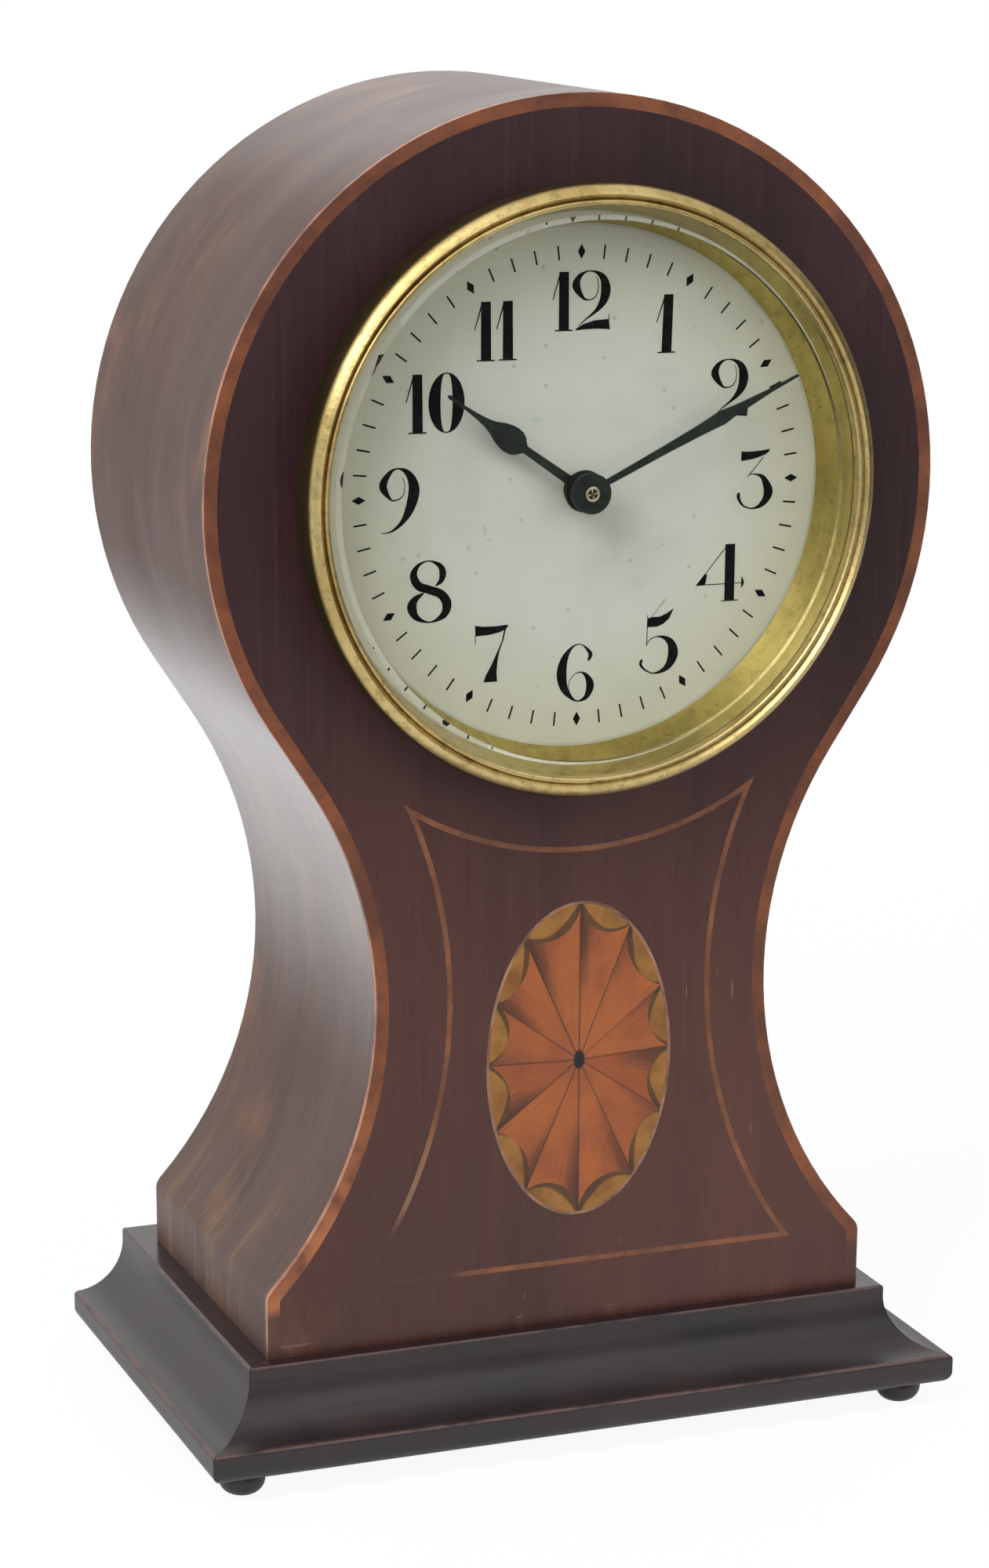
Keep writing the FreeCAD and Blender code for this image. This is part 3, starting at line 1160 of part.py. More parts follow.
    post = (BALANCE[0] + 8.6, BALANCE[1] - 6.0)
    lean = math.degrees(math.atan2(post[1] - BALANCE[1], post[0] - BALANCE[0]))
    spring_front = rim_front + 1.8
    coil = spiral(1.0, d.hairspring_radius, int(d.hairspring_turns), 0.12, spring_front, spring_front + 0.4, lean)
    stud = rod(0.3, spring_front - 0.1, cock_back, *around(d.hairspring_radius, lean))
    plain_piece("hairspring", joined([coil, stud]), *at_dial(*BALANCE))
    length = math.hypot(post[0] - BALANCE[0], post[1] - BALANCE[1])
    arm = path_face(closed((0, -1.3), (length, -1.6), (length, 1.6), (0, 1.3)), upright)
    arm.rotate(Vector(), Vector(0, 1, 0), -lean)
    arm = slab(arm.translated(Vector(0, cock_back, 0)), 1.4)
    x, z = around(length, lean)
    cock = joined([arm, rod(2.3, cock_back, cock_back + 1.4), rod(1.6, cock_back, cock_back + 1.4, x, z),
                   rod(1.2, top, cock_back + 0.5, x, z), rod(1.2, cock_back + 1, cock_back + 2.2)])
    plain_piece("balance_cock", cock.cut(rod(fine + d.running_fit, 0, cock_back + 1.3)), *at_dial(*BALANCE))
    pointer = path_face(closed((0, -0.5), (7.5, -0.2), (7.5, 0.2), (0, 0.5)), upright)
    pointer.rotate(Vector(), Vector(0, 1, 0), 180 - lean)
    tail = path_face(closed((0, -0.4), (4.6, -0.3), (4.6, 0.3), (0, 0.4)), upright)
    tail.rotate(Vector(), Vector(0, 1, 0), 35 - lean)
    arms = [slab(face.translated(Vector(0, cock_back + 1.5, 0)), 0.5) for face in (pointer, tail)]
    regulator = joined(arms + [rod(2.0, cock_back + 1.5, cock_back + 2.0)])
    plain_piece("regulator", regulator.cut(rod(1.2 + d.running_fit, 0, d.case_depth)), *at_dial(*BALANCE))


def click_work():
    """The click that holds the ratchet wheel, and its spring. Places are (radius, angle) about the barrel's arbor."""
    base = float(s.back_plate_back)
    front = base + 0.4
    lean = d.click_direction

    def place(radius, turn):
        return beyond(BARREL, lean - turn, radius)

    tooth = d.ratchet_radius
    tip_low, tip_high = place(tooth + d.click_gap, 40), place(tooth + 1.6, 38)
    back, belly = beyond(CLICK, lean - 20, 1.3), beyond(CLICK, lean - 190, 1.0)
    arm = slab(path_face(closed(tip_low, belly, back, tip_high), upright).translated(Vector(0, front, 0)), 1.2)
    click = joined([arm, rod(1.3, front, front + 1.6, *CLICK), rod(d.pivot_radius, base - 1.6, front + 1, *CLICK)])
    plain_piece("click", click, *at_dial())
    foot_turn, tip_turn = 85.5, 36.5
    blade = closed(place(tooth + 6.8, foot_turn - 0.9), place(tooth + 5.2, tip_turn + 0.2),
                   place(tooth + 4.9, tip_turn - 0.3), place(tooth + 6.1, foot_turn + 1.0))
    blade = slab(path_face(blade, upright).translated(Vector(0, front, 0)), 0.9)
    x, z = SPRING_FOOT
    spring = joined([blade, rod(1.3, base, front + 0.9, x, z), rod(d.fine_pivot_radius, base - 1.5, front, x, z)])
    plain_piece("click_spring", spring, *at_dial())


wooden_case()
inlay()
plinth()
plinth_screws()
movement_frame(bezel_parts())
hands()
motion_work()
going_train()
click_work()
escapement()
rear_door()
document.recompute()

for item in document.Objects:
    if {"Invalid", "Error"} & set(item.State):
        raise RuntimeError(f"{item.Label} is {item.State}")
for node in NODES:
    if node.Shape.isNull() or not node.Shape.isValid():
        raise RuntimeError(f"{node.Label} has no sound shape")

os.makedirs("parts", exist_ok=True)
for node in NODES:
    node.Shape.exportStep(f"parts/{node.Label}.step")
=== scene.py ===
# Inlaid balloon mantel clock: its finishes, the print on its dial, and the light and camera around it.
# Lengths are metres unless a name or a comment says millimetres.
import math
import bmesh
import bpy
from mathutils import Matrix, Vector


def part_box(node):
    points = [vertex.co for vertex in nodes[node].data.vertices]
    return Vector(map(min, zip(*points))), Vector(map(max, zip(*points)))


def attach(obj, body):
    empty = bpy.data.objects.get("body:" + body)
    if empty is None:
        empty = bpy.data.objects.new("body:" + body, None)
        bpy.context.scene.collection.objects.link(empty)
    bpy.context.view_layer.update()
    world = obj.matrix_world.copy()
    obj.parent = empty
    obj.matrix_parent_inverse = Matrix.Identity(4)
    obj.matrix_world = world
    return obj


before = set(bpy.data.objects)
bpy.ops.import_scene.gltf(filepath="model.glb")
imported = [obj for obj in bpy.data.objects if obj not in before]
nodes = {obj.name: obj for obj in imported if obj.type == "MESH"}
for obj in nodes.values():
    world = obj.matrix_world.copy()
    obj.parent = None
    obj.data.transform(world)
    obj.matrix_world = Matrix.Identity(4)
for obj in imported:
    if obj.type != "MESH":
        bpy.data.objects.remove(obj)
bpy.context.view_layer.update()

MM = 0.001
NOSING_HEIGHT = 5.7 * MM        # of the plinth's square nosing under its hollow


def middle(node):
    """The middle of a node's box."""
    low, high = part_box(node)
    return (low + high) / 2


# Places that the finishes and the print are measured from
plinth_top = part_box("front_veneer")[0].z
nosing_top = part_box("plinth_front_moulding")[0].z + NOSING_HEIGHT
plinth_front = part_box("plinth_front_moulding")[0].y
plinth_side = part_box("plinth_right_moulding")[1].x
dial_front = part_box("dial")[0].y
dial_centre = middle("dial")
dial_centre.y = dial_front
patera_centre = middle("patera_rim")
patera_half = (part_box("patera_rim")[1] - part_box("patera_rim")[0]) / 2
arbor_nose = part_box("centre_arbor")[0].y

# Where each ray of the fan begins, in degrees clockwise from the top, as if the oval were a circle
RAY_STARTS = (0.0, 33.5, 64.5, 88.3, 112.5, 142.0, 179.5, 215.5, 245.5, 271.0, 293.8, 323.0)


# Colours

def shade(code):
    """A colour as it looks on screen, such as 3b2a2d, as the linear colour that a shader takes."""
    parts = [int(code[place:place + 2], 16) / 255 for place in (0, 2, 4)]
    linear = [part / 12.92 if part <= 0.04045 else ((part + 0.055) / 1.055) ** 2.4 for part in parts]
    return (*linear, 1.0)


# Shader building

class Field:
    """A number that varies over a surface. An expression on fields adds its Math nodes."""

    def __init__(self, board, socket):
        self.board = board
        self.socket = socket

    def work(self, operation, *others):
        values = dict(enumerate((self, *others)))
        return Field(self.board, self.board.add("ShaderNodeMath", {"operation": operation}, values).outputs[0])

    def __add__(self, other):
        return self.work("ADD", other)

    def __radd__(self, other):
        return self.work("ADD", other)

    def __sub__(self, other):
        return self.work("SUBTRACT", other)

    def __rsub__(self, other):
        return self.work("MULTIPLY_ADD", -1.0, other)

    def __mul__(self, other):
        return self.work("MULTIPLY", other)

    def __rmul__(self, other):
        return self.work("MULTIPLY", other)

    def __truediv__(self, other):
        return self.work("DIVIDE", other)

    def __pow__(self, other):
        return self.work("POWER", other)

    def __abs__(self):
        return self.work("ABSOLUTE")

    def step(self, low, high):
        """0 up to low, 1 from high on, and smooth between them; falling where high is under low."""
        sockets = {"Value": self, "From Min": low, "From Max": high}
        node = self.board.add("ShaderNodeMapRange", {"interpolation_type": "SMOOTHSTEP"}, sockets)
        return Field(self.board, node.outputs[0])

    def near(self, value, reach):
        """1 at a value, falling to 0 at a reach from it on either side."""
        return abs(self - value).step(reach, 0.0)

    def most(self, other):
        return self.work("MAXIMUM", other)

    def least(self, other):
        return self.work("MINIMUM", other)


class Board:
    """A node tree, filled node by node."""

    def __init__(self, owner):
        owner.use_nodes = True
        self.owner = owner
        self.nodes = owner.node_tree.nodes
        self.links = owner.node_tree.links
        self.nodes.clear()

    def add(self, kind, settings=None, sockets=None):
        """Adds a node: its settings first, then the values or links of its sockets."""
        node = self.nodes.new(kind)
        for name, value in (settings or {}).items():
            setattr(node, name, value)
        for name, value in (sockets or {}).items():
            source = value.socket if isinstance(value, Field) else value
            if isinstance(source, bpy.types.NodeSocket):
                self.links.new(source, node.inputs[name])
            else:
                node.inputs[name].default_value = source
        return node

    def blend(self, under, over, share):
        """One colour laid over another by a share from 0 to 1."""
        return self.add("ShaderNodeMix", {"data_type": "RGBA"}, {0: share, 6: under, 7: over}).outputs[2]


class Finish(Board):
    """The finish of a piece: one physical shader, with its even values set on its own sockets."""

    def __init__(self, name, **even):
        super().__init__(bpy.data.materials.new(name))
        self.shader = self.add("ShaderNodeBsdfPrincipled")
        for words, value in even.items():
            socket = words.replace("_", " ").title().replace("Ior", "IOR")
            self.shader.inputs[socket].default_value = value
        self.out = self.add("ShaderNodeOutputMaterial", {}, {"Surface": self.shader.outputs[0]})
        self.place = self.add("ShaderNodeTexCoord").outputs["Object"]
        self.axes = self.add("ShaderNodeSeparateXYZ", {}, {0: self.place})

    def along(self, axis, origin=0.0):
        """Millimetres along x, y or z from an origin given in metres."""
        return (Field(self, self.axes.outputs["xyz".index(axis)]) - origin) * 1000.0

    def facing(self, axis):
        """How far the surface faces along an axis, from -1 to 1."""
        normal = self.add("ShaderNodeNewGeometry").outputs["Normal"]
        return Field(self, self.add("ShaderNodeSeparateXYZ", {}, {0: normal}).outputs["xyz".index(axis)])

    def noise(self, per_metre, detail=3.0, roughness=0.55, shift=(0.0, 0.0, 0.0), place=None):
        """Noise about one half, with its own number of waves a metre along x, y and z."""
        sockets = {"Vector": place or self.place, "Location": shift, "Scale": per_metre}
        spread = self.add("ShaderNodeMapping", {}, sockets)
        sockets = {"Vector": spread.outputs[0], "Scale": 1.0, "Detail": detail, "Roughness": roughness}
        return Field(self, self.add("ShaderNodeTexNoise", {}, sockets).outputs[0])

    def specks(self, per_metre, size, place=None):
        """Round specks at scattered points: 1 in the middle of each, 0 beyond its size, in cells."""
        cells = self.add("ShaderNodeTexVoronoi", {}, {"Vector": place or self.place, "Scale": per_metre})
        return Field(self, cells.outputs["Distance"]).step(size, size * 0.4)

    def radius(self, centre):
        """Millimetres out from a line through a centre, along y."""
        x = self.along("x", centre.x)
        z = self.along("z", centre.z)
        return (x * x + z * z) ** 0.5

    def turn(self, centre):
        """The turn about that line, clockwise from the top, from 0 to 1."""
        angle = self.along("x", centre.x).work("ARCTAN2", self.along("z", centre.z))
        return (angle / (2 * math.pi)).work("FRACT")

    def ringed(self, centre, per_mm, stretch=3.0):
        """Fine lines around a centre, as a lathe tool or a polishing wheel leaves them."""
        places = {0: self.radius(centre) * per_mm, 1: self.turn(centre) * stretch}
        lines = self.add("ShaderNodeCombineXYZ", {}, places)
        return self.noise((1.0, 1.0, 1.0), 2.0, 0.6, place=lines.outputs[0])

    def relief(self, height, depth):
        """Bumps the surface by a field, to a depth in millimetres."""
        bump = self.add("ShaderNodeBump", {}, {"Height": height, "Distance": depth * MM, "Strength": 1.0})
        self.links.new(bump.outputs[0], self.shader.inputs["Normal"])

    def paint(self, colour, roughness, coat=None):
        """Gives the shader what varies over the surface, and returns the finished material."""
        self.links.new(colour, self.shader.inputs["Base Color"])
        self.links.new(roughness.socket, self.shader.inputs["Roughness"])
        if coat:
            self.links.new(coat.socket, self.shader.inputs["Coat Weight"])
        return self.owner


# Woods

# Heights on the case are mm above the plinth. A pair is where a change begins and where it is complete.
FACE_DARKENS = (35.0, 150.0)
FOOT_WEAR = (24.0, 0.0)
RUBBED_LINE = 2.1           # a pale line rubbed along the foot of the face

# Pale scratches in the face: x, height, lean, half length and half width in mm, and strength
FACE_MARKS = [
    (31.0, 60.0, 0.02, 2.6, 0.14, 0.75),
    (22.0, 60.5, -0.03, 1.6, 0.12, 0.55),
    (35.5, 33.0, 0.04, 1.8, 0.13, 0.5),
    (28.0, 63.5, 0.3, 1.4, 0.10, 0.35),
    (9.5, 14.5, -0.1, 1.2, 0.12, 0.3),
    (-9.0, 6.0, 0.05, 1.5, 0.12, 0.3),
]


def mahogany_front():
    """French-polished mahogany of the face: upright grain, darker and more purple towards the top."""
    wood = Finish("french_polished_face", specular_ior_level=0.4)
    x = wood.along("x")
    height = wood.along("z", plinth_top)
    figure = wood.noise((38.0, 38.0, 7.0), 4.0, 0.6)
    grain = wood.noise((900.0, 60.0, 16.0), 4.0, 0.7)
    pores = wood.noise((2600.0, 60.0, 150.0), 2.0).step(0.60, 0.70)
    low = wood.blend(shade("3c211c"), shade("542e25"), figure.step(0.25, 0.8))
    high = wood.blend(shade("2c181b"), shade("391f21"), figure.step(0.25, 0.8))
    colour = wood.blend(low, high, height.step(*FACE_DARKENS))
    colour = wood.blend(colour, shade("6e4638"), grain.step(0.52, 0.85) * 0.22)
    colour = wood.blend(colour, shade("1d1012"), grain.step(0.48, 0.2) * 0.32)
    colour = wood.blend(colour, shade("1a0e0e"), pores * 0.35)
    worn = wood.noise((90.0, 90.0, 60.0), 5.0, 0.65, (3.0, 1.0, 2.0)).step(0.55, 0.75)
    foot_wear = height.step(*FOOT_WEAR) * worn
    colour = wood.blend(colour, shade("6b4a35"), foot_wear * 0.4)
    rubbed_line = height.near(RUBBED_LINE, 0.3) * x.step(14.0, 2.0) * worn.step(0.0, 0.3)
    colour = wood.blend(colour, shade("8a6a58"), rubbed_line * 0.5)
    for mark_x, mark_z, lean, length, width, strength in FACE_MARKS:
        mark = (x - mark_x - lean * (height - mark_z)).near(0.0, width) * height.near(mark_z, length)
        colour = wood.blend(colour, shade("a58472"), mark * strength)
    wood.relief(grain * 0.6 + pores * -0.6 + figure * 0.8, 0.03)
    return wood.paint(colour, 0.36 + worn * 0.12 + grain * 0.1)


SIDE_FOOT = (40.0, 5.0)         # smears towards the foot of the sides
WAXED_FROM = (42.0, 84.0)       # the shine of the waist grows over these heights
WAXED_TO = (140.0, 108.0)       # and fades out over these, from its end down
CROWN_SHINE = (196.0, 216.0)


def mahogany_side():
    """French-polished mahogany round the case: grain along the outline, patches worn warm, a satin bloom."""
    wood = Finish("french_polished_side", specular_ior_level=0.5, coat_roughness=0.2, coat_ior=1.55)
    height = wood.along("z", plinth_top)
    figure = wood.noise((16.0, 90.0, 16.0), 5.0, 0.62)
    grain = wood.noise((40.0, 1300.0, 40.0), 3.0, 0.7)
    pores = wood.noise((150.0, 2600.0, 150.0), 2.0).step(0.62, 0.72)
    colour = wood.blend(shade("3d2822"), shade("50352b"), figure.step(0.25, 0.78))
    colour = wood.blend(colour, shade("7a553b"), grain.step(0.52, 0.82) * 0.4)
    colour = wood.blend(colour, shade("291b1a"), grain.step(0.48, 0.22) * 0.45)
    colour = wood.blend(colour, shade("231615"), pores * 0.45)
    patches = wood.noise((24.0, 40.0, 24.0), 4.0, 0.6, (5.0, 2.0, 7.0)).step(0.52, 0.72)
    colour = wood.blend(colour, shade("865c3e"), patches * 0.4)
    smears = wood.noise((45.0, 300.0, 45.0), 3.0, 0.6, (9.0, 4.0, 1.0))
    foot = height.step(*SIDE_FOOT)
    colour = wood.blend(colour, shade("6f5335"), foot * smears.step(0.5, 0.7) * 0.6)
    bloom = wood.noise((20.0, 30.0, 20.0), 3.0, 0.5, (1.0, 8.0, 3.0)).step(0.4, 0.62)
    wood.relief(grain * 0.5 + smears * 0.8 + pores * -0.5, 0.03)
    waxed = height.step(*WAXED_FROM) * height.step(*WAXED_TO)
    coat = waxed * 0.95 + height.step(*CROWN_SHINE) * 0.25
    return wood.paint(colour, 0.46 + bloom * 0.08 + smears * 0.1 - waxed * 0.1, coat)


def stringing(name, light, dark, figure_scale):
    """Thin lines of pale wood, darkened by polish: the finish, its colour so far and its tone."""
    wood = Finish(name, specular_ior_level=0.45)
    tone = wood.noise((figure_scale, 30.0, figure_scale), 3.0, 0.6)
    grain = wood.noise((700.0, 700.0, 700.0), 2.0)
    colour = wood.blend(shade(dark), shade(light), tone.step(0.3, 0.7))
    colour = wood.blend(colour, shade("3a1d12"), grain.step(0.5, 0.25) * 0.35)
    wood.relief(tone, 0.04)
    return wood, colour, tone


# Along the edge stringing: x in mm and heights, each pair from where a change begins to where it is complete
LEFT_SIDE = (0.0, -20.0)
LEFT_FOOT_PALE = (48.0, 26.0)
EDGE_FOOT_DARK = (10.0, 7.5)
EDGE_NICK_X, EDGE_NICK_HEIGHT = -40.0, 33.0


def edge_line():
    """The stringing let into the front arris: orange brown, its corner pale and pinkish, partly rubbed by wear
    and partly a painted highlight.
    """
    wood, colour, tone = stringing("edge_stringing", "7b421f", "552b19", 70.0)
    height = wood.along("z", plinth_top)
    arris_wear_and_highlight = abs(wood.facing("y")).step(0.75, 0.35)
    x = wood.along("x")
    left_foot = x.step(*LEFT_SIDE) * height.step(*LEFT_FOOT_PALE)
    colour = wood.blend(colour, shade("a8673f"), left_foot * tone.step(0.35, 0.6) * 0.8)
    colour = wood.blend(colour, shade("3c2520"), height.step(*EDGE_FOOT_DARK) * 0.8)
    # The faces round the arris are painted pale and pinkish: partly wear, partly a painted highlight.
    colour = wood.blend(colour, shade("b98a76"), arris_wear_and_highlight * tone.step(0.3, 0.6) * 0.6)
    nick = x.near(EDGE_NICK_X, 1.0) * height.near(EDGE_NICK_HEIGHT, 1.4)
    colour = wood.blend(colour, shade("2a1712"), nick * 0.9)
    return wood.paint(colour, 0.42 + tone * 0.15)


# The panel's stringing is worn pale at its lower left, lost below that, and faint at the left of its foot
PALE_X, PALE_HEIGHT = (-18.0, -24.0), (42.0, 30.0)
LOST_HEIGHT = (28.0, 20.0)
FAINT_X, FAINT_HEIGHT = (-16.0, -36.0), (16.0, 14.0)


def panel_line():
    """The fine stringing of the panel."""
    wood, colour, tone = stringing("panel_stringing", "7d4a2b", "5c3420", 110.0)
    x = wood.along("x")
    height = wood.along("z", plinth_top)
    lower_left = x.step(*PALE_X) * height.step(*PALE_HEIGHT)
    colour = wood.blend(colour, shade("8b6a52"), lower_left * 0.6)
    lost = lower_left * height.step(*LOST_HEIGHT)
    faint = x.step(*FAINT_X) * height.step(*FAINT_HEIGHT) * 0.9
    colour = wood.blend(colour, shade("432720"), lost.most(faint))
    return wood.paint(colour, 0.42 + tone * 0.15)


def patera_place(wood):
    """In the oval, as if it were a circle: share of the way out, turn in degrees clockwise from the top,
    number of the ray and share of the way across that ray."""
    x = wood.along("x", patera_centre.x) / (patera_half.x * 1000)
    z = wood.along("z", patera_centre.z) / (patera_half.z * 1000)
    turn = (x.work("ARCTAN2", z) / (2 * math.pi)).work("FRACT") * 360.0
    ends = RAY_STARTS[1:] + (360.0,)
    number, start, width = 0.0, 0.0, ends[0]
    for last, one, end in zip(RAY_STARTS, ends, ends[1:]):
        passed = turn.work("GREATER_THAN", one)
        number = number + passed
        start = start + passed * (one - last)
        width = width + passed * ((end - one) - (one - last))
    return (x * x + z * z) ** 0.5, turn, number, (turn - start) / width


SCORCH_WIDTH = 0.18         # share of a ray's width
SCORCH_STRENGTH = 0.35
SOOT_SPOT = (0.085, 0.065)  # shares of the way out, for the dark spot in the middle of the fan

# Rays with a deeper scorch, counted clockwise from the top: extra width and extra strength
DEEP_SCORCHES = [(0, 0.18, 0.6), (3, 0.34, 0.45), (5, 0.08, 0.35), (6, 0.18, 0.6), (7, 0.06, 0.3),
                 (8, 0.22, 0.62), (10, 0.12, 0.45), (11, 0.16, 0.58)]


def ray_wood():
    """Satinwood rays: each scorched in hot sand along its starting edge, deepest at the outer end."""
    wood = Finish("sand_shaded_rays", specular_ior_level=0.45)
    out, turn, number, ray = patera_place(wood)
    chance = wood.add("ShaderNodeTexWhiteNoise", {"noise_dimensions": "1D"}, {"W": number + 0.5})
    lottery = Field(wood, chance.outputs[0])
    streaks = wood.add("ShaderNodeCombineXYZ", {}, {0: turn * 1.2, 1: out * 5.0, 2: number * 3.7})
    grain = wood.noise((1.0, 1.0, 1.0), 3.0, 0.65, place=streaks.outputs[0])
    blotch = wood.noise((120.0, 120.0, 120.0), 4.0, 0.6)
    colour = wood.blend(shade("88441a"), shade("9a5221"), lottery)
    colour = wood.blend(colour, shade("7a3b1e"), blotch.step(0.4, 0.7) * 0.6)
    colour = wood.blend(colour, shade("a86430"), grain.step(0.52, 0.8) * 0.45)
    colour = wood.blend(colour, shade("5f2b14"), grain.step(0.48, 0.2) * 0.5)
    reach = SCORCH_WIDTH
    depth = SCORCH_STRENGTH
    for place, wide, strong in DEEP_SCORCHES:
        reach = reach + number.near(place, 0.6) * wide
        depth = depth + number.near(place, 0.6) * strong
    ragged = ray + (grain - 0.5) * 0.35
    scorch = (ragged.step(reach, 0.02) * (out + (grain - 0.5) * 0.25).step(0.28, 0.9)) ** 0.75
    colour = wood.blend(colour, shade("241713"), scorch * depth)
    toast = (ray + (grain - 0.5) * 0.3).step(0.75, 0.1) * (out - 0.05).step(0.35, 0.9)
    colour = wood.blend(colour, shade("5c2d18"), toast * 0.45)
    joint = ray.least(1 - ray) * out
    colour = wood.blend(colour, shade("22130d"), joint.step(0.022, 0.006) * (depth * 0.5 + 0.2))
    colour = wood.blend(colour, shade("160d0b"), (out + grain * 0.03).step(*SOOT_SPOT))
    wood.relief(grain, 0.015)
    return wood.paint(colour, 0.36 + blotch * 0.15)


LUNETTE_DEPTH = 4.3         # mm from the rim to the deepest point of a lunette


def lunette_wood():
    """Olive-gold lunettes round the fan: fine curved grain, and a dark glue line where they meet the rays."""
    wood = Finish("lunette_wood", specular_ior_level=0.45)
    out, turn, _, ray = patera_place(wood)
    slope = (turn * (math.pi / 180)).work("COSINE") ** 2
    reach = (patera_half.x * 1000) + slope * ((patera_half.z - patera_half.x) * 1000)
    bend = (ray * 2.0 - 1.0) ** 2
    bow = (1 - out) * reach / (1.0 - bend).most(0.1)
    lines = wood.add("ShaderNodeCombineXYZ", {}, {0: bow * 5.0, 1: turn * 0.08})
    grain = wood.noise((1.0, 1.0, 1.0), 3.0, 0.6, place=lines.outputs[0])
    tone = wood.noise((160.0, 160.0, 160.0), 3.0)
    colour = wood.blend(shade("754813"), shade("906226"), tone.step(0.35, 0.65))
    colour = wood.blend(colour, shade("4e3213"), grain.step(0.48, 0.25) * 0.5)
    ends = ray.least(1 - ray).step(0.12, 0.02)
    colour = wood.blend(colour, shade("2f1d10"), ends * 0.6)
    inner_arc = bow.step(LUNETTE_DEPTH - 0.7, LUNETTE_DEPTH - 0.1)
    colour = wood.blend(colour, shade("2f1b0f"), inner_arc * 0.75)
    wood.relief(grain, 0.03)
    return wood.paint(colour, 0.38 + tone * 0.15)


def patera_line():
    """The thin pale line round the oval, with short breaks where it has darkened."""
    wood, colour, tone = stringing("patera_stringing", "9a6f58", "59392a", 110.0)
    return wood.paint(colour, 0.42 + tone * 0.15)


def ebonised():
    """Black-stained wood of the plinth, its arrises rubbed through to reddish brown."""
    wood = Finish("ebonised_plinth", specular_ior_level=0.5)
    height = wood.along("z")
    aside = abs(wood.along("x")) - plinth_side * 1000
    back = wood.along("y") - plinth_front * 1000
    grain = wood.noise((40.0, 700.0, 700.0), 3.0, 0.65)
    cloud = wood.noise((35.0, 50.0, 90.0), 4.0, 0.6)
    colour = wood.blend(shade("1f1a1b"), shade("2e2324"), cloud.step(0.35, 0.7))
    colour = wood.blend(colour, shade("171314"), grain.step(0.5, 0.25) * 0.6)
    flat_top = height.near(plinth_top * 1000, 1.2) * wood.facing("z").step(0.8, 0.95)
    colour = wood.blend(colour, shade("2c1a1c"), flat_top * 0.7)
    broken = wood.noise((120.0, 120.0, 120.0), 3.0, 0.6).step(0.3, 0.55)
    reach = (aside + 1.0).most(1.0 - back)
    nosing_line = height.near(nosing_top * 1000 - 0.2, 0.32) * reach.step(-0.6, 0.0)
    lip_line = height.near(plinth_top * 1000 - 0.25, 0.35) * wood.facing("z").step(0.98, 0.8)
    colour = wood.blend(colour, shade("7a5650"), nosing_line * broken * 0.5)
    colour = wood.blend(colour, shade("74524c"), lip_line * broken * 0.45)
    mitre = abs(aside + back)
    colour = wood.blend(colour, shade("0d0a0a"), mitre.step(0.32, 0.1) * 0.85)
    wood.relief(grain * 0.5 + cloud + mitre.step(0.0, 0.3) * 0.8, 0.04)
    return wood.paint(colour, 0.34 + cloud * 0.16 - flat_top * 0.2)


def plain_wood(name, light, dark, pore, along):
    """Unpolished boards inside and at the back: straight grain with open pores."""
    wood = Finish(name, specular_ior_level=0.3)
    scale = {"x": (12.0, 500.0, 500.0), "z": (500.0, 500.0, 12.0)}[along]
    fine = {"x": (60.0, 1800.0, 1800.0), "z": (1800.0, 1800.0, 60.0)}[along]
    rings = wood.noise(scale, 4.0, 0.6)
    pores = wood.noise(fine, 2.0).step(0.6, 0.7)
    tone = wood.noise((25.0, 25.0, 25.0), 3.0)
    colour = wood.blend(shade(light), shade(dark), rings.step(0.35, 0.68))
    colour = wood.blend(colour, shade(dark), tone.step(0.4, 0.7) * 0.5)
    colour = wood.blend(colour, shade(pore), pores * 0.6)
    wood.relief(rings + pores * -0.7, 0.08)
    return wood.paint(colour, 0.5 + tone * 0.2)


# Metals

BEZEL_FLANK = (49.9, 50.5)      # mm from the centre, where the side of the bezel begins
COPPERY_SIDE = (-10.0, -45.0)   # mm towards the lower left, where the lacquer has worn most


def gilt(name, bright, dull, dark, gloss=0.3, roundness=1.6, flank_shade_share=0.94):
    """Lacquered gilt brass, turned and buffed, its lacquer worn in coppery and dark specks, and its side
    darkened with painted shade.
    """
    metal = Finish(name, metallic=1.0)
    lines = metal.ringed(dial_centre, 9.0, 10.0)
    wear = metal.noise((150.0, 150.0, 150.0), 5.0, 0.7)
    patches = metal.noise((38.0, 38.0, 38.0), 4.0, 0.6, (2.0, 5.0, 1.0))
    grit = metal.noise((900.0, 900.0, 900.0), 3.0, 0.7)
    colour = metal.blend(shade(bright), shade(dull), patches.step(0.38, 0.66))
    lower_left = (metal.along("x", dial_centre.x) * 0.7 + metal.along("z", dial_centre.z)).step(*COPPERY_SIDE)
    colour = metal.blend(colour, shade("9a5f33"), wear.step(0.54, 0.72) * (0.2 + lower_left * 0.45))
    colour = metal.blend(colour, shade(dark), grit.step(0.58, 0.74) * 0.55)
    # Painted shade: the side of the bezel is darkened to a near black brown, and made rougher, as if it stood
    # in shadow.
    flank_shade = metal.facing("y").step(-0.62, -0.3) * metal.radius(dial_centre).step(*BEZEL_FLANK) * flank_shade_share
    colour = metal.blend(colour, shade("21170f"), flank_shade)
    speckle = metal.noise((520.0, 520.0, 520.0), 3.0, 0.6, (1.0, 4.0, 2.0))
    colour = metal.blend(colour, shade(dark), speckle.step(0.5, 0.3) * 0.3)
    metal.relief(lines * 0.4 + grit * 0.5 + speckle * roundness, 0.05)
    return metal.paint(colour, gloss + wear * 0.12 + grit * 0.12 + flank_shade * 0.25)


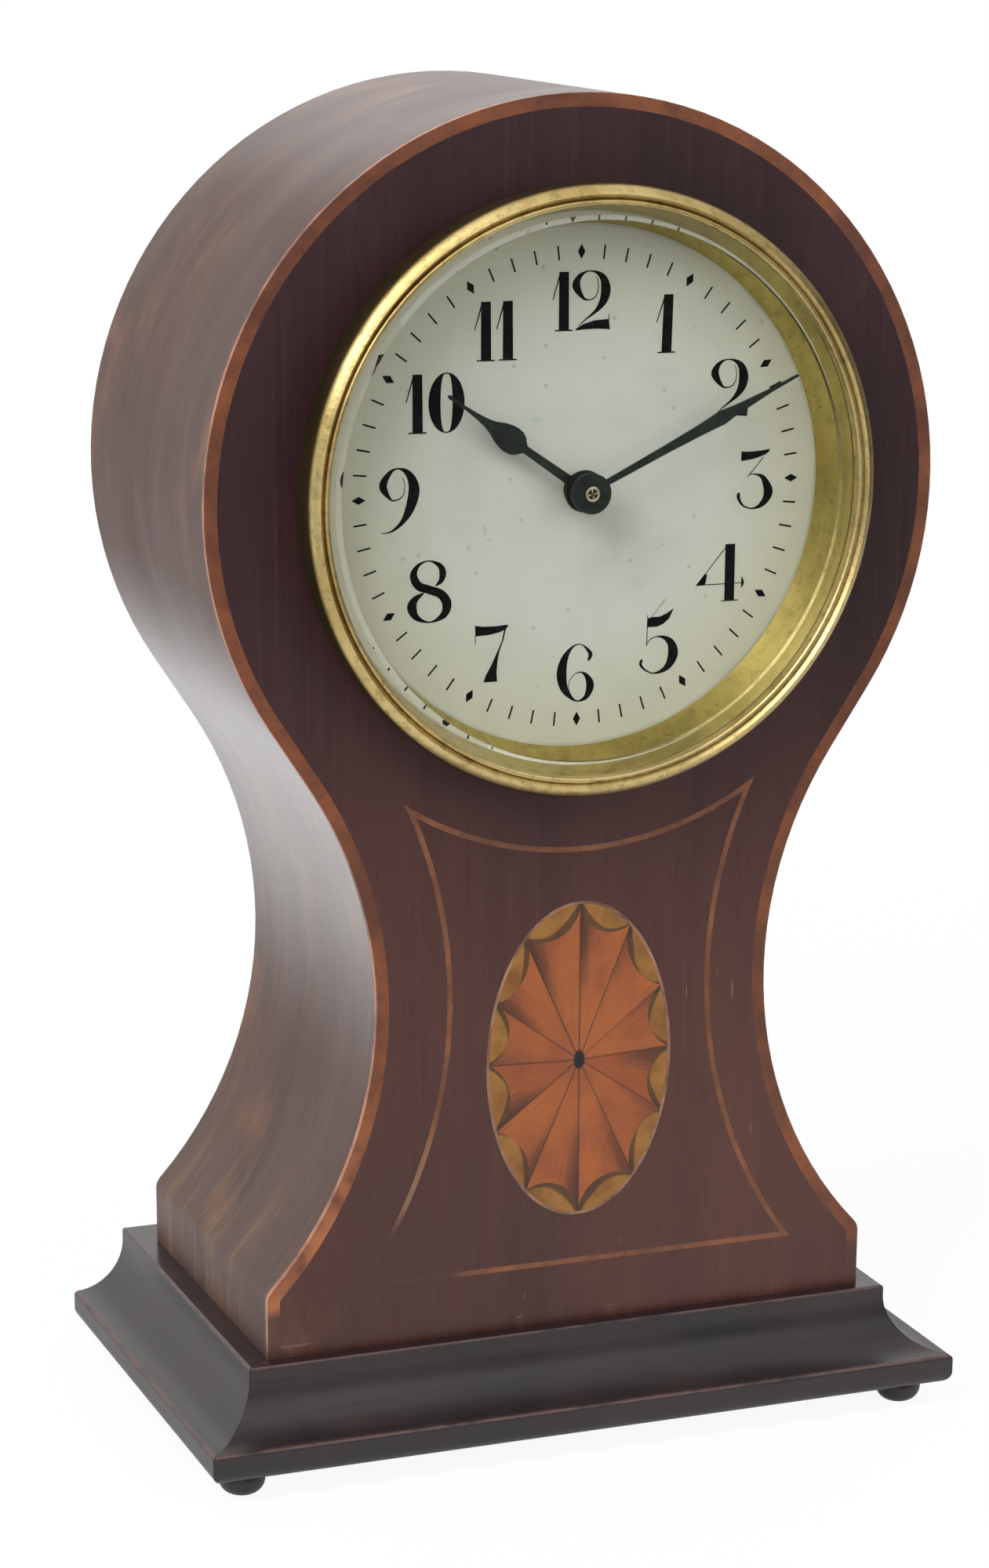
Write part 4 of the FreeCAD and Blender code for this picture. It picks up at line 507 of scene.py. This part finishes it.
def brass(name, bright, dull, way, centre=None):
    """Movement brass: straight or ringed graining, with a brown bloom in patches."""
    metal = Finish(name, metallic=1.0)
    if way == "ringed":
        lines = metal.ringed(centre, 14.0)
    else:
        lines = metal.noise({"upright": (2200.0, 2200.0, 60.0), "level": (60.0, 2200.0, 2200.0)}[way], 2.0, 0.6)
    bloom = metal.noise((70.0, 70.0, 70.0), 4.0, 0.6)
    colour = metal.blend(shade(bright), shade(dull), bloom.step(0.38, 0.68))
    colour = metal.blend(colour, shade("6f5226"), lines.step(0.5, 0.25) * 0.35)
    metal.relief(lines, 0.012)
    return metal.paint(colour, 0.22 + lines * 0.14 + bloom * 0.1)


def steel(name, bright, dull, roughness, grain=(1500.0, 1500.0, 1500.0)):
    """Steel parts: polished, blued or blackened, with fine grain and small marks."""
    metal = Finish(name, metallic=1.0)
    lines = metal.noise(grain, 2.0, 0.6)
    cloud = metal.noise((130.0, 130.0, 130.0), 4.0, 0.6)
    colour = metal.blend(shade(bright), shade(dull), cloud.step(0.35, 0.68))
    metal.relief(lines, 0.008)
    return metal.paint(colour, roughness + lines * 0.1 + cloud * 0.08)


def blackened(name):
    """The hands: blackened steel gone matt and slightly green, with paler handled spots."""
    metal = Finish(name, specular_ior_level=0.25)
    cloud = metal.noise((420.0, 420.0, 420.0), 4.0, 0.6)
    grit = metal.noise((2600.0, 2600.0, 2600.0), 2.0)
    colour = metal.blend(shade("131614"), shade("222724"), cloud.step(0.35, 0.7))
    colour = metal.blend(colour, shade("3c413b"), grit.step(0.6, 0.75) * 0.3)
    metal.relief(grit * 0.6 + cloud, 0.015)
    return metal.paint(colour, 0.5 + cloud * 0.15)


# The punched nose of the arbor: radii in mm, and how far the cross is turned, as a share of its quarter
PUNCH_RING = 1.1
PUNCH_CROSS = (1.05, 0.7)
CROSS_TURN = 0.12
NOSE_DEPTH = (0.4, 0.2)         # mm behind the tip of the nose


def arbor_brass():
    """The centre arbor: worn brass, its nose upset with a cross-cut punch when the boss was pressed on."""
    metal = Finish("centre_arbor_brass", metallic=1.0)
    radius = metal.radius(dial_centre)
    cross = abs((metal.turn(dial_centre) * 4.0 + CROSS_TURN).work("FRACT") - 0.5).step(0.3, 0.42)
    front = metal.along("y", arbor_nose).step(*NOSE_DEPTH)
    raised = (cross * radius.step(*PUNCH_CROSS)).most(radius.near(PUNCH_RING, 0.3))
    wear = metal.noise((1500.0, 1500.0, 1500.0), 3.0)
    colour = metal.blend(shade("4b4230"), shade("e2d8bb"), raised * (0.6 + wear * 0.6))
    colour = metal.blend(shade("b49a5c"), colour, front)
    metal.relief(raised * front, 0.12)
    return metal.paint(colour, 0.3 + wear * 0.2)


# Dial and glass

# Faint smudges in the dial's paint: x and z from the centre, reach across and up in mm, strength
DIAL_SMUDGES = [
    (-17.3, -6.2, 0.35, 1.7, 0.55),
    (-16.6, -7.8, 0.9, 0.35, 0.5),
    (-24.5, -12.5, 1.4, 0.9, 0.25),
    (-8.0, 12.0, 2.2, 0.9, 0.16),
    (-4.5, 16.0, 3.0, 1.0, 0.12),
    (12.0, -17.0, 4.5, 2.0, 0.12),
    (-4.0, -16.0, 3.5, 2.5, 0.10),
]


YELLOWER_EDGE = (26.0, 50.0)    # mm from the centre
SIGHT_EDGE = 44.45              # mm from the centre, where the sight ring shades the paint


def dial_paint():
    """Satin cream paint gone slightly green, yellower towards its edge, with old smudges and hair marks, and a
    ring of painted shade where the sight ring meets it.
    """
    face = Finish("dial_cream", specular_ior_level=0.4)
    radius = face.radius(dial_centre)
    x = face.along("x", dial_centre.x)
    z = face.along("z", dial_centre.z)
    cloud = face.noise((60.0, 60.0, 60.0), 4.0, 0.6)
    fine = face.noise((900.0, 900.0, 900.0), 3.0, 0.6)
    colour = face.blend(shade("c3c4bc"), shade("bfbdab"), (radius + cloud * 14.0).step(*YELLOWER_EDGE))
    colour = face.blend(colour, shade("b2b4a8"), cloud.step(0.45, 0.72) * 0.45)
    colour = face.blend(colour, shade("cbcac1"), fine.step(0.55, 0.8) * 0.4)
    for place_x, place_z, across, up, strength in DIAL_SMUDGES:
        smudge = x.near(place_x, across) * z.near(place_z, up)
        colour = face.blend(colour, shade("7f8577"), smudge * (cloud.step(0.3, 0.6) * strength))
    specks = face.specks(190.0, 0.10)
    colour = face.blend(colour, shade("8f8f76"), specks * 0.5)
    # Painted shade: a darker, uneven ring where the sight ring shades the paint.
    edge = radius.near(SIGHT_EDGE, 0.28)
    colour = face.blend(colour, shade("8d9084"), edge * (cloud.step(0.35, 0.6) * 0.5))
    face.relief(fine * 0.5 + cloud, 0.02)
    return face.paint(colour, 0.38 + cloud * 0.1)


def print_black():
    """Black printing ink, a little worn and uneven."""
    ink = Finish("dial_print_black", specular_ior_level=0.08)
    wear = ink.noise((900.0, 900.0, 900.0), 3.0, 0.65)
    colour = ink.blend(shade("08090a"), shade("181b1c"), wear.step(0.45, 0.75))
    ink.relief(wear, 0.01)
    return ink.paint(colour, 0.42 + wear * 0.15)


BEVEL_START = 45.9          # mm from the centre
BEVEL_SLOPE = 0.72          # how much steeper the bevel bends light than its own slope
CLEAR_GLASS = (0.96, 0.97, 0.96, 1.0)


def bevelled_glass():
    """Clear glass that bends light at its bevel; shadow rays pass straight through it."""
    glass = Finish("bevelled_glass", transmission_weight=1.0, ior=1.5, roughness=0.0)
    glass.shader.inputs["Base Color"].default_value = shade("fbfdfb")
    front = glass.facing("y").step(-0.3, -0.7)
    glass.relief((glass.radius(dial_centre) - BEVEL_START).most(0.0) * front * -BEVEL_SLOPE, 1.0)
    clear = glass.add("ShaderNodeBsdfTransparent", {}, {"Color": CLEAR_GLASS})
    shadow = glass.add("ShaderNodeLightPath").outputs["Is Shadow Ray"]
    mixed = glass.add("ShaderNodeMixShader", {}, {0: shadow, 1: glass.shader.outputs[0], 2: clear.outputs[0]})
    glass.links.new(mixed.outputs[0], glass.out.inputs["Surface"])
    return glass.owner


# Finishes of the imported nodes

face_wood = mahogany_front()
side_wood = mahogany_side()
case_wood = plain_wood("oiled_mahogany", "5a3626", "43271d", "27150f", "z")
pine = plain_wood("planed_pine", "a98257", "8a6237", "6a4524", "x")
black_wood = ebonised()
turned_gilt = gilt("gilt_bezel", "d3bd83", "b09a64", "57471f")
sight_gilt = gilt("gilt_sight_ring", "c9b56c", "b3a05c", "7c7040", gloss=0.1, roundness=0.15, flank_shade_share=0.0)
plate_brass = brass("plate_brass", "c8a461", "a98546", "upright")
level_brass = brass("cock_brass", "cba866", "ad8a4c", "level")
back_brass = brass("back_ring_brass", "bb9655", "94713a", "ringed", dial_centre)
bright_steel = steel("polished_steel", "b9babb", "8f9091", 0.22)
blued_steel = steel("blued_steel", "2c3a66", "1f2947", 0.2)
spring_steel = steel("spring_steel", "6f747c", "4a5160", 0.25)
black_steel = blackened("blackened_steel")
ink_black = print_black()

FINISHES = {
    "side_veneer": side_wood,
    "front_veneer": face_wood,
    "case_shell": case_wood,
    "front_board": case_wood,
    "back_board": case_wood,
    "case_floor": pine,
    "edge_stringing": edge_line(),
    "panel_stringing": panel_line(),
    "patera_rim": patera_line(),
    "patera_lunettes": lunette_wood(),
    "patera_rays": ray_wood(),
    "plinth_front_moulding": black_wood,
    "plinth_left_moulding": black_wood,
    "plinth_right_moulding": black_wood,
    "plinth_rear_rail": black_wood,
    "plinth_board": pine,
    "feet": black_wood,
    "plinth_screws": bright_steel,
    "bezel": turned_gilt,
    "bezel_screws": bright_steel,
    "glass": bevelled_glass(),
    "sight_ring": sight_gilt,
    "dial": dial_paint(),
    "minute_hand": black_steel,
    "hour_hand": black_steel,
    "hand_boss": black_steel,
    "centre_arbor": arbor_brass(),
    "setting_knob": back_brass,
    "minute_wheel": level_brass,
    "hour_wheel": level_brass,
    "front_plate": plate_brass,
    "back_plate": plate_brass,
    "plate_pillars": level_brass,
    "frame_screws": blued_steel,
    "movement_drum": back_brass,
    "clamp_posts": level_brass,
    "clamp_screws": bright_steel,
    "rear_ring": back_brass,
    "rear_door": back_brass,
    "door_hinge_pin": bright_steel,
    "door_knob": level_brass,
    "barrel": brass("barrel_brass", "c8a461", "a98546", "ringed", middle("barrel")),
    "barrel_cover": brass("barrel_cover_brass", "c8a461", "a98546", "ringed", middle("barrel_cover")),
    "mainspring": spring_steel,
    "barrel_arbor": bright_steel,
    "ratchet_wheel": bright_steel,
    "click": bright_steel,
    "click_spring": bright_steel,
    "intermediate_wheel": level_brass,
    "centre_wheel": level_brass,
    "third_wheel": level_brass,
    "fourth_wheel": level_brass,
    "platform": level_brass,
    "escape_wheel": level_brass,
    "pallet_lever": bright_steel,
    "escape_cock": plate_brass,
    "balance_wheel": brass("balance_brass", "d2b06c", "b5924f", "ringed", middle("balance_wheel")),
    "hairspring": blued_steel,
    "balance_cock": plate_brass,
    "regulator": bright_steel,
}
for node_name, node in nodes.items():
    for slot in node.material_slots:
        slot.material = FINISHES[node_name]


# Print on the dial

PRINT_THICKNESS = 0.03      # mm that the ink stands off the paint
PRINT_STEP = 0.004          # mm by which each later stroke of a figure overlaps the one before
CURVE_STEPS = 6             # between two points of a stroke
CAP_STEPS = 4               # round a quarter of a stroke's end
THINNEST_STROKE = 0.05      # mm


def on_dial(point, lift):
    """A point x, z in mm from the dial's centre, standing off the paint by a lift in mm."""
    return dial_centre + Vector((point[0], -lift, point[1])) * MM


def curve_through(points):
    """A smooth curve through points, each with as many values as it likes."""
    path = []
    last = len(points) - 1
    for number in range(last):
        before, one, other, after = (points[min(max(number + hop, 0), last)] for hop in (-1, 0, 1, 2))
        for step in range(CURVE_STEPS):
            t = step / CURVE_STEPS
            path.append(tuple(
                0.5 * (2 * b + (c - a) * t
                       + (2 * a - 5 * b + 4 * c - d) * t ** 2
                       + (3 * b - a - 3 * c + d) * t ** 3)
                for a, b, c, d in zip(before, one, other, after)))
    return path + [points[-1]]


def pen_stroke(points):
    """The rungs across a pen stroke, given as x, z and width in mm along its middle, with round ends."""
    path = curve_through(points)
    rungs = []
    for number, (x, z, width) in enumerate(path):
        one = path[max(number - 1, 0)]
        other = path[min(number + 1, len(path) - 1)]
        heading = Vector((other[0] - one[0], other[1] - one[1])).normalized()
        side = Vector((-heading.y, heading.x))
        centre = Vector((x, z))
        half = max(width, THINNEST_STROKE) / 2
        caps = [(0.0, 1.0)]
        if number in (0, len(path) - 1):
            way = -1 if number == 0 else 1
            turns = [math.pi / 2 * step / CAP_STEPS for step in range(CAP_STEPS)]
            caps = [(way * math.sin(turn), math.cos(turn)) for turn in (turns if way > 0 else reversed(turns))]
        for forward, share in caps:
            rung = centre + heading * (half * forward)
            rungs.append((rung + side * (half * share), rung - side * (half * share)))
    return rungs


def add_rungs(mesh, rungs, thickness, closed=False):
    """Adds a flat closed band between the ends of rungs."""
    rings = [[mesh.verts.new(on_dial(point, lift)) for point, lift in
              ((one, 0), (other, 0), (other, thickness), (one, thickness))] for one, other in rungs]
    following = rings[1:] + (rings[:1] if closed else [])
    for one, other in zip(rings, following):
        for corner in range(4):
            mesh.faces.new((one[corner], one[corner - 1], other[corner - 1], other[corner]))
    if not closed:
        mesh.faces.new(rings[0])
        mesh.faces.new(rings[-1])


def add_plate(mesh, outline, thickness):
    """Adds a flat closed plate of an outline."""
    low = [mesh.verts.new(on_dial(point, 0)) for point in outline]
    high = [mesh.verts.new(on_dial(point, thickness)) for point in outline]
    mesh.faces.new(low)
    mesh.faces.new(high)
    for number in range(len(outline)):
        mesh.faces.new((low[number - 1], low[number], high[number], high[number - 1]))


def shown(name, mesh, finish, body="case"):
    """Turns a mesh into a piece that rides on a body."""
    bmesh.ops.recalc_face_normals(mesh, faces=mesh.faces)
    bmesh.ops.triangulate(mesh, faces=[face for face in mesh.faces if len(face.verts) > 4])
    data = bpy.data.meshes.new(name)
    mesh.to_mesh(data)
    mesh.free()
    data.materials.append(finish)
    piece = bpy.data.objects.new(name, data)
    bpy.context.scene.collection.objects.link(piece)
    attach(piece, body)
    return piece


# Each figure in mm about the dial's centre at its own hour: pen strokes of x, z, width, and plates of x, z
TWO = {
    "strokes": [[
        (2.75, 35.7, 0.1), (3.12, 34.6, 0.12), (3.05, 33.3, 0.14), (2.5, 32.3, 0.18), (1.5, 31.9, 0.22),
        (0.4, 32.25, 0.5), (-0.9, 34.2, 1.4), (-0.5, 35.6, 0.95), (0.4, 36.4, 0.45), (1.6, 36.7, 0.2),
        (3.0, 36.35, 0.6), (4.1, 35.3, 1.3), (4.5, 33.6, 1.75), (4.2, 32.0, 1.5), (3.3, 30.6, 0.9),
        (2.2, 29.6, 0.45), (0.8, 28.6, 0.22), (-0.4, 27.6, 0.12)],
        [(5.1, 29.4, 0.12), (5.15, 28.4, 0.14)]],
    "plates": [[(-1.0, 26.85), (-0.9, 27.15), (0.5, 27.9), (2.5, 28.45), (5.1, 28.6), (5.35, 26.85),
                (3.0, 27.05), (0.5, 27.0)]],
}
THREE = {
    "strokes": [
        [(34.6, 3.8, 0.15), (31.7, 0.55, 0.15)],
        [(31.7, 0.6, 0.1), (32.3, 0.95, 0.12), (33.5, 0.85, 0.35), (34.7, 0.2, 0.9), (35.7, -2.0, 1.7),
         (35.2, -3.6, 1.3), (34.4, -4.4, 0.9), (33.6, -4.85, 0.5), (32.5, -4.98, 0.25), (31.2, -4.6, 0.3),
         (30.4, -3.8, 0.45), (30.0, -2.9, 0.6), (30.05, -2.4, 0.6)]],
    "plates": [[(30.4, 5.0), (32.0, 4.9), (34.0, 5.0), (35.9, 5.2), (35.6, 4.7), (35.0, 4.3), (33.5, 3.8),
                (32.0, 3.5), (30.4, 3.35)]],
}
FOUR = {
    "strokes": [
        [(27.9, -11.5, 0.15), (22.3, -18.0, 0.15)],
        [(22.3, -17.95, 0.15), (31.0, -17.95, 0.15)],
        [(31.0, -16.9, 0.1), (31.15, -17.5, 0.4), (31.2, -17.9, 0.5), (31.15, -18.3, 0.4), (31.0, -18.8, 0.1)],
        [(27.2, -20.95, 0.18), (30.3, -20.95, 0.18)]],
    "plates": [
        [(27.75, -11.0), (29.6, -11.0), (29.6, -21.0), (27.75, -21.0)],
        [(22.3, -18.0), (24.0, -17.9), (24.4, -16.1), (23.9, -16.15)]],
}
FIVE = {
    "strokes": [
        [(13.2, -22.7, 0.14), (13.1, -28.0, 0.14)],
        [(13.5, -23.5, 0.08), (16.5, -20.0, 0.08)],
        [(13.1, -27.8, 0.1), (13.8, -26.9, 0.15), (15.1, -26.5, 0.22), (16.5, -26.8, 0.7), (17.7, -27.8, 1.4),
         (18.15, -29.6, 1.9), (17.5, -31.4, 1.4), (16.3, -32.5, 0.8), (14.5, -32.95, 0.25), (12.9, -32.3, 0.3),
         (12.0, -31.3, 0.5), (12.15, -30.6, 0.5)]],
    "plates": [[(13.2, -24.75), (13.2, -23.2), (14.0, -23.0), (15.5, -23.0), (16.8, -22.5), (18.1, -21.7),
                (17.3, -23.4), (16.2, -24.3), (15.0, -24.75)]],
}
SIX = {
    "strokes": [[
        (2.2, -29.7, 0.5), (2.5, -28.8, 0.75), (1.9, -27.9, 0.5), (1.0, -27.1, 0.2), (0.0, -26.95, 0.2),
        (-1.2, -27.6, 0.5), (-2.4, -29.4, 1.3), (-2.9, -32.0, 1.85), (-2.4, -34.5, 1.4), (-1.0, -36.3, 0.6),
        (0.3, -36.9, 0.25), (1.8, -36.2, 0.9), (2.5, -34.3, 1.45), (1.9, -32.7, 0.9), (0.9, -31.9, 0.3),
        (-0.2, -32.0, 0.15), (-1.2, -32.9, 0.12), (-1.6, -34.2, 0.1), (-1.3, -35.4, 0.08)]],
    "plates": [],
}
SEVEN = {
    "strokes": [[(-18.95, -24.2, 0.12), (-18.9, -25.7, 0.12)]],
    "plates": [
        [(-19.0, -22.5), (-17.5, -22.75), (-15.0, -22.8), (-13.2, -22.65), (-12.8, -22.8), (-13.3, -23.4),
         (-14.5, -23.9), (-16.5, -24.25), (-18.9, -24.35)],
        [(-13.6, -23.4), (-14.1, -25.6), (-15.0, -27.5), (-16.0, -29.6), (-17.0, -31.3), (-17.4, -32.45),
         (-14.9, -32.45), (-15.0, -31.0), (-14.85, -29.0), (-14.5, -27.2), (-13.8, -25.4), (-13.3, -23.4)]],
}
EIGHT = {
    "strokes": [[
        (-26.1, -15.1, 0.3), (-25.2, -14.3, 0.9), (-24.9, -13.0, 1.25), (-25.5, -11.7, 0.85),
        (-27.4, -10.85, 0.22), (-29.3, -11.5, 0.6), (-30.2, -13.2, 1.3), (-29.3, -15.0, 1.5),
        (-27.3, -15.8, 1.45), (-25.2, -16.7, 1.55), (-24.15, -18.4, 1.7), (-24.8, -20.3, 1.2),
        (-27.2, -21.35, 0.25), (-29.6, -20.5, 1.0), (-30.5, -18.7, 1.75), (-29.9, -17.3, 1.15),
        (-28.5, -16.4, 0.35)]],
    "plates": [],
}
NINE = {
    "strokes": [[
        (-32.2, 3.6, 0.1), (-31.75, 2.4, 0.12), (-31.9, 0.8, 0.14), (-32.6, 0.0, 0.2), (-33.4, -0.25, 0.25),
        (-34.3, -0.05, 0.4), (-35.65, 2.2, 1.4), (-34.4, 4.4, 0.7), (-33.0, 5.05, 0.25), (-31.5, 4.5, 0.9),
        (-30.4, 3.0, 1.6), (-30.1, 0.9, 2.0), (-30.9, -1.9, 1.6), (-32.2, -4.0, 0.8), (-33.8, -5.3, 0.4),
        (-35.0, -5.7, 0.2), (-36.0, -5.65, 0.1)]],
    "plates": [],
}
ONE = {
    "strokes": [],
    "plates": [
        [(-0.9, -4.85), (0.95, -4.85), (0.85, 4.9), (-0.9, 4.9)],
        [(-0.85, 4.6), (-0.8, 3.9), (-1.95, 0.25), (-2.12, 0.25)],
        [(-1.65, -4.95), (1.65, -5.0), (1.6, -4.75), (-1.6, -4.72)]],
}
NOUGHT = {"half_width": 3.25, "half_height": 5.05, "slot_half_width": 1.08, "slot_half_height": 4.85}
LEVEL = 0.0
SLIGHT_LEAN = 2.0
HOURS = {
    "twelve": [(ONE, -3.12, 31.8, LEVEL), (TWO, 0.0, 0.0, LEVEL)],
    "one": [(ONE, 16.0, 27.45, SLIGHT_LEAN)],
    "two": [(TWO, 26.0, -15.75, LEVEL)],
    "three": [(THREE, 0.0, 0.0, LEVEL)],
    "four": [(FOUR, 0.0, 0.0, LEVEL)],
    "five": [(FIVE, 0.0, 0.0, LEVEL)],
    "six": [(SIX, 0.0, 0.0, LEVEL)],
    "seven": [(SEVEN, 0.0, 0.0, LEVEL)],
    "eight": [(EIGHT, 0.0, 0.0, LEVEL)],
    "nine": [(NINE, 0.0, 0.0, LEVEL)],
    "ten": [(ONE, -29.45, 15.7, LEVEL), (NOUGHT, -24.25, 15.7, LEVEL)],
    "eleven": [(ONE, -17.2, 27.3, LEVEL), (ONE, -13.25, 27.3, LEVEL)],
}
NOUGHT_POINTS = 40
SLOT_SQUARENESS = 0.6       # 1 is an oval slot, and less is squarer


def oval_rungs(sizes):
    """The rungs of a nought: an oval outside, and a slot with round ends inside."""
    rungs = []
    for number in range(NOUGHT_POINTS):
        angle = 2 * math.pi * number / NOUGHT_POINTS
        across, up = math.cos(angle), math.sin(angle)
        outer = (sizes["half_width"] * across, sizes["half_height"] * up)
        squared = math.copysign(abs(across) ** SLOT_SQUARENESS, across)
        inner = (sizes["slot_half_width"] * squared, sizes["slot_half_height"] * up)
        rungs.append((outer, inner))
    return rungs


def hour_figure(name, parts):
    """One hour's figures as one printed piece."""
    mesh = bmesh.new()
    order = 0
    for figure, shift_x, shift_z, lean in parts:
        turn = math.tan(math.radians(lean))

        def moved(point):
            return (point[0] + turn * point[1] + shift_x, point[1] + shift_z)

        for points in figure.get("strokes", ()):
            rungs = [(moved(one), moved(other)) for one, other in pen_stroke(points)]
            add_rungs(mesh, rungs, PRINT_THICKNESS + order * PRINT_STEP)
            order += 1
        for outline in figure.get("plates", ()):
            add_plate(mesh, [moved(point) for point in outline], PRINT_THICKNESS + order * PRINT_STEP)
            order += 1
        if "half_width" in figure:
            rungs = [(moved(one), moved(other)) for one, other in oval_rungs(figure)]
            add_rungs(mesh, rungs, PRINT_THICKNESS, closed=True)
    return shown("hour_" + name, mesh, ink_black)


MINUTE_MARK = {"inner": 38.8, "outer": 41.2, "half_width": 0.15}
HOUR_DIAMOND = {"radius": 40.0, "half_length": 1.25, "half_width": 0.68}


def minute_track():
    """The sixty marks round the dial: a fine bar for each minute and a diamond for each fifth one."""
    mesh = bmesh.new()
    for minute in range(60):
        angle = math.radians(6 * minute)
        out = Vector((math.sin(angle), math.cos(angle)))
        side = Vector((out.y, -out.x))
        if minute % 5 == 0:
            centre = out * HOUR_DIAMOND["radius"]
            reach, half = HOUR_DIAMOND["half_length"], HOUR_DIAMOND["half_width"]
            outline = [centre + out * reach, centre + side * half, centre - out * reach, centre - side * half]
        else:
            half = MINUTE_MARK["half_width"]
            inner, outer = out * MINUTE_MARK["inner"], out * MINUTE_MARK["outer"]
            outline = [inner - side * half, inner + side * half, outer + side * half, outer - side * half]
        add_plate(mesh, outline, PRINT_THICKNESS)
    return shown("minute_track", mesh, ink_black)


minute_track()
for hour_name, hour_parts in HOURS.items():
    hour_figure(hour_name, hour_parts)


# Floor, light and camera

WHITE = (1.0, 1.0, 1.0, 1.0)
FLOOR_HALF = 6.0
FLOOR_PAINT = (0.94, 0.94, 0.94, 1.0)
FLOOR_GLOW = 0.93               # share of the floor by the clock that is plain white to the camera
FLOOR_FADE = (0.15, 0.52)       # metres from the clock over which the shadow fades out
FLOOR_IN_POLISH = 0.5           # how bright polish, glass and metal see the floor
AMBIENT = 0.5                   # the room's light on everything that isn't polished
CLOCK_MIDDLE = (0.0, 0.0, 0.12)

# Corners of the dark cards
DARK_CARDS = {
    "front_card": [(-0.12, -0.36, 0.002), (0.8, -0.36, 0.002), (0.8, -0.8, 0.42), (-0.12, -0.8, 0.42)],
    "left_card": [(-0.55, -0.66, 0.002), (-0.6, -0.12, 0.002), (-0.6, -0.12, 0.36), (-0.55, -0.66, 0.36)],
    "right_card": [(0.34, -0.45, 0.05), (0.46, 0.15, 0.05), (0.46, 0.15, 0.45), (0.34, -0.45, 0.45)],
}

# Soft lamps: place, side of the square and watts
LAMPS = {
    "window_lamp": ((-0.75, -0.45, 0.95), 0.7, 12.0),
    "fill_lamp": ((0.75, -0.9, 0.5), 0.9, 4.0),
    "back_lamp": ((0.2, 0.8, 0.9), 0.8, 2.5),
}


def staged(name, corners, finish):
    """A flat sheet that belongs to the studio."""
    data = bpy.data.meshes.new(name)
    data.from_pydata(corners, [], [tuple(range(len(corners)))])
    data.materials.append(finish)
    plane = bpy.data.objects.new(name, data)
    bpy.context.scene.collection.objects.link(plane)
    return plane


def floor():
    """A plain white floor that keeps a soft shadow."""
    sheet = Board(bpy.data.materials.new("white_floor"))
    paint = sheet.add("ShaderNodeBsdfDiffuse", {}, {"Color": FLOOR_PAINT})
    glow = sheet.add("ShaderNodeEmission", {}, {"Color": WHITE, "Strength": 1.0})
    place = sheet.add("ShaderNodeTexCoord").outputs["Object"]
    away = Field(sheet, sheet.add("ShaderNodeVectorMath", {"operation": "LENGTH"}, {0: place}).outputs["Value"])
    share = FLOOR_GLOW + away.step(*FLOOR_FADE) * (1.0 - FLOOR_GLOW)
    path = sheet.add("ShaderNodeLightPath")
    from_camera = Field(sheet, path.outputs["Is Camera Ray"])
    from_polish = Field(sheet, path.outputs["Is Glossy Ray"])
    white = (from_camera * share).most(from_polish * FLOOR_IN_POLISH)
    mixed = sheet.add("ShaderNodeMixShader", {}, {0: white, 1: paint.outputs[0], 2: glow.outputs[0]})
    sheet.add("ShaderNodeOutputMaterial", {}, {"Surface": mixed.outputs[0]})
    corners = [(x * FLOOR_HALF, y * FLOOR_HALF, 0.0) for x, y in ((-1, -1), (1, -1), (1, 1), (-1, 1))]
    staged("floor", corners, sheet.owner)


def dark_card(name, corners):
    """A dark card beside the camera that only the polish, the glass and the metal reflect."""
    felt = Board(bpy.data.materials.new(name))
    black = felt.add("ShaderNodeEmission", {}, {"Color": shade("1c201e"), "Strength": 1.0})
    felt.add("ShaderNodeOutputMaterial", {}, {"Surface": black.outputs[0]})
    card = staged(name, corners, felt.owner)
    card.visible_camera = False
    card.visible_diffuse = False
    card.visible_shadow = False


def room():
    """White where the camera, metal and glass look past the floor, and an even grey light elsewhere."""
    air = Board(bpy.data.worlds.new("studio"))
    path = air.add("ShaderNodeLightPath")
    seen = Field(air, path.outputs["Is Camera Ray"]).most(Field(air, path.outputs["Is Glossy Ray"]))
    seen = seen.most(Field(air, path.outputs["Is Transmission Ray"]))
    strength = AMBIENT + seen * (1.0 - AMBIENT)
    light = air.add("ShaderNodeBackground", {}, {"Color": WHITE, "Strength": strength})
    air.add("ShaderNodeOutputWorld", {}, {"Surface": light.outputs[0]})
    bpy.context.scene.world = air.owner


def soft_lamp(name, place, side, watts):
    """A flat square lamp turned to the middle of the clock."""
    data = bpy.data.lights.new(name, "AREA")
    data.shape = "SQUARE"
    data.size = side
    data.energy = watts
    lamp = bpy.data.objects.new(name, data)
    lamp.location = place
    lamp.rotation_euler = (Vector(CLOCK_MIDDLE) - Vector(place)).to_track_quat("-Z", "Y").to_euler()
    bpy.context.scene.collection.objects.link(lamp)


# The camera as it was solved from the photograph: place, turns in degrees, lens in mm, and shifts of the frame
CAMERA = {
    "place": (-0.26192, -0.67019, 0.27877),
    "turns": (72.2198, -0.3345, -21.2589),
    "lens": 92.16,
    "frame": 36.0,
    "shift": (-0.0082, 0.2226),
}


def camera():
    """The camera of the photograph."""
    data = bpy.data.cameras.new("camera")
    data.sensor_fit = "VERTICAL"
    data.sensor_height = CAMERA["frame"]
    data.lens = CAMERA["lens"]
    data.shift_x, data.shift_y = CAMERA["shift"]
    data.clip_start = 0.01
    data.clip_end = 50.0
    data.dof.use_dof = False
    view = bpy.data.objects.new("camera", data)
    view.location = CAMERA["place"]
    view.rotation_euler = [math.radians(turn) for turn in CAMERA["turns"]]
    bpy.context.scene.collection.objects.link(view)
    bpy.context.scene.camera = view


floor()
room()
for card_name, card_corners in DARK_CARDS.items():
    dark_card(card_name, card_corners)
for lamp_name, lamp_sizes in LAMPS.items():
    soft_lamp(lamp_name, *lamp_sizes)
camera()
bpy.context.scene.view_settings.view_transform = "Standard"
